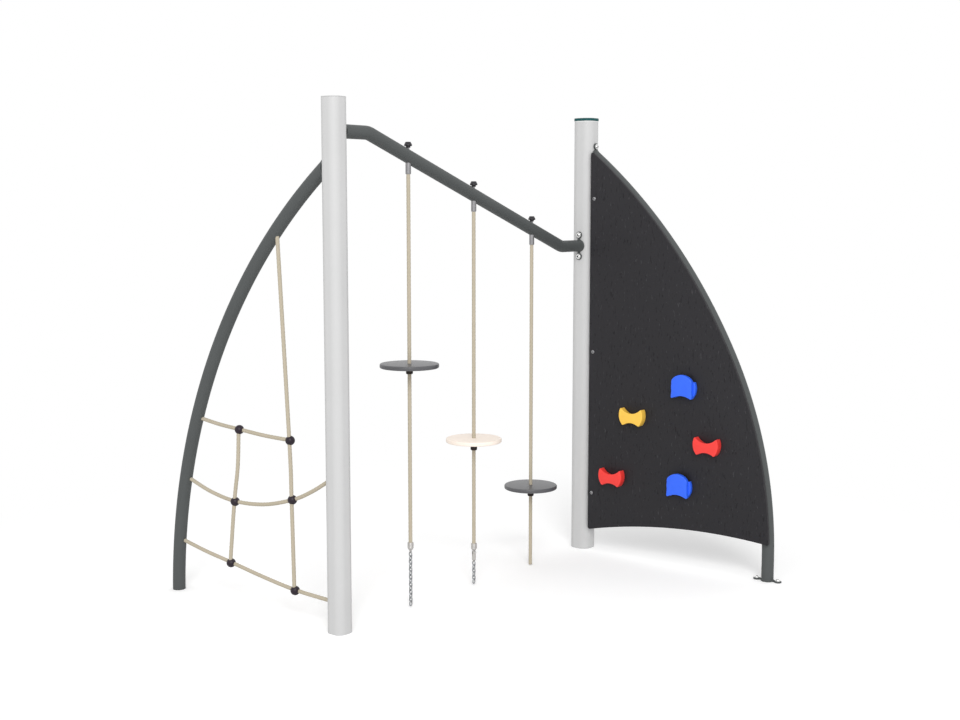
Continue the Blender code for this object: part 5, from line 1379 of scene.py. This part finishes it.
low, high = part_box("chain_connector")
pin_low, pin_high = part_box("connector_pin")
pin_z = (pin_low.z + pin_high.z) / 2
eye_z = low.z + EYE_PLATE_WIDTH / 2
barrel_low = eye_z + wire_hole + EYE_HOLE_GAP
slot_low = pin_z - EYE_PLATE_WIDTH / 2 - EYE_HOLE_GAP
slot_half = EYE_PLATE_THICKNESS / 2 + EYE_HOLE_GAP
cheek_radius = CONNECTOR_RADIUS - CHEEK_STEP
fork = moved(lathe([(0.0, barrel_low), (CONNECTOR_RADIUS - CONNECTOR_CHAMFER, barrel_low),
                    (CONNECTOR_RADIUS, barrel_low + CONNECTOR_CHAMFER),
                    (CONNECTOR_RADIUS, slot_low), (0.0, slot_low)]), hang)
for side in (1, -1):
    cheek = lathe([(0.0, slot_low - CHEEK_ROOT), (cheek_radius, slot_low - CHEEK_ROOT),
                   (cheek_radius, high.z - CHEEK_CHAMFER), (cheek_radius - CHEEK_CHAMFER, high.z),
                   (0.0, high.z)])
    trim_at(cheek, (0.0, side * slot_half, 0.0), (0.0, -side, 0.0))
    join_in(fork, cheek, hang)
join_in(fork, eye_shape(wire_hole, barrel_low + EYE_ROOT - eye_z),
        axes((hang_x, line_y + EYE_PLATE_THICKNESS / 2, eye_z), (1, 0, 0), UP))
stands_for(settle(fork, "forked_connector", bright_zinc), "galvanised_steel", "chain_2",
           "chain_connector")
pin_length = pin_high.y - pin_low.y - PIN_HEAD_HEIGHT
pin = lathe([(0.0, -pin_length), (PIN_RADIUS - CHAMFER, -pin_length),
             (PIN_RADIUS, CHAMFER - pin_length), (PIN_RADIUS, 0.0), (PIN_HEAD_RADIUS, 0.0),
             (PIN_HEAD_RADIUS, PIN_HEAD_HEIGHT - CHAMFER),
             (PIN_HEAD_RADIUS - CHAMFER, PIN_HEAD_HEIGHT), (0.0, PIN_HEAD_HEIGHT)], 24)
moved(pin, facing((hang_x, pin_low.y + PIN_HEAD_HEIGHT, pin_z), (0, -1, 0)))
stands_for(settle(pin, "connector_pin_steel", stainless), "stainless_steel", "rope_2",
           "connector_pin")

# Ground, background and light
# Smooth white ground that keeps a soft shadow and fades into a plain white background. A broad
# soft light stands beside the camera, above it, as in the photograph.
FLOOR_SIZE = 80.0
GROUND_TONE = 0.86
GROUND_SEEN = 1.15           # tone that makes the lit ground as white as the background
SHADE_REACH = 1.3            # distance from the middle where the ground starts to fade to white
FADE_END = 3.2
SKY_STRENGTH = 0.75
KEY_PLACE = (-12.8, -11.2, 11.0)
KEY_AIM = (0.0, 0.0, 1.1)
KEY_SIZE = 10.0
KEY_POWER = 1900.0

# Matt white ground: it bounces an even light up, and the camera sees it as white as paper.
floor_material = blank_material("white_ground")
sight = add_node(floor_material, "ShaderNodeLightPath")
white = add_node(floor_material, "ShaderNodeMix",
                 {"A_Color": (GROUND_TONE, GROUND_TONE, GROUND_TONE, 1.0),
                  "B_Color": (GROUND_SEEN, GROUND_SEEN, GROUND_SEEN, 1.0)},
                 {"Factor_Float": (sight, "Is Camera Ray")}, data_type="RGBA", clamp_factor=True)
diffuse = add_node(floor_material, "ShaderNodeBsdfDiffuse", {}, {"Color": (white, "Result_Color")})
place = add_node(floor_material, "ShaderNodeTexCoord")
distance = add_node(floor_material, "ShaderNodeVectorMath", {}, {"Vector": (place, "Object")},
                    operation="LENGTH")
fade = add_node(floor_material, "ShaderNodeMapRange",
                {"From Min": SHADE_REACH, "From Max": FADE_END}, {"Value": (distance, "Value")},
                interpolation_type="SMOOTHSTEP")
fade_seen = add_node(floor_material, "ShaderNodeMath", {},
                     {"Value": (fade, "Result"), "Value_001": (sight, "Is Camera Ray")},
                     operation="MULTIPLY")
plain_white = add_node(floor_material, "ShaderNodeEmission", {"Color": (1.0, 1.0, 1.0, 1.0)})
seen_ground = add_node(floor_material, "ShaderNodeMixShader", {},
                       {"Fac": (fade_seen, "Value"), "Shader": (diffuse, "BSDF"),
                        "Shader_001": (plain_white, "Emission")})
add_node(floor_material, "ShaderNodeOutputMaterial", {}, {"Surface": (seen_ground, "Shader")})
ground = bmesh.new()
bmesh.ops.create_grid(ground, x_segments=1, y_segments=1, size=FLOOR_SIZE / 2)
settle(ground, "ground", floor_material)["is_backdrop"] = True

world = bpy.data.worlds.new("white_surroundings")
world.use_nodes = True
world.node_tree.nodes.clear()
sight = add_node(world, "ShaderNodeLightPath")
seen = add_node(world, "ShaderNodeMath", {}, {"Value": (sight, "Is Camera Ray"),
                                             "Value_001": (sight, "Is Glossy Ray")},
                operation="MAXIMUM")
strength = add_node(world, "ShaderNodeMapRange", {"To Min": SKY_STRENGTH, "To Max": 1.0},
                    {"Value": (seen, "Value")})
sky = add_node(world, "ShaderNodeBackground", {"Color": (1.0, 1.0, 1.0, 1.0)},
               {"Strength": (strength, "Result")})
add_node(world, "ShaderNodeOutputWorld", {}, {"Surface": (sky, "Background")})
bpy.context.scene.world = world
bpy.context.scene.view_settings.view_transform = "Standard"

key = bpy.data.lights.new("soft_key", "AREA")
key.shape = "DISK"
key.size = KEY_SIZE
key.energy = KEY_POWER
key_lamp = bpy.data.objects.new("soft_key", key)
key_lamp.location = KEY_PLACE
key_lamp.rotation_euler = (Vector(KEY_AIM) - Vector(KEY_PLACE)).to_track_quat("-Z", "Y").to_euler()
bpy.context.scene.collection.objects.link(key_lamp)

low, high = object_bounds()
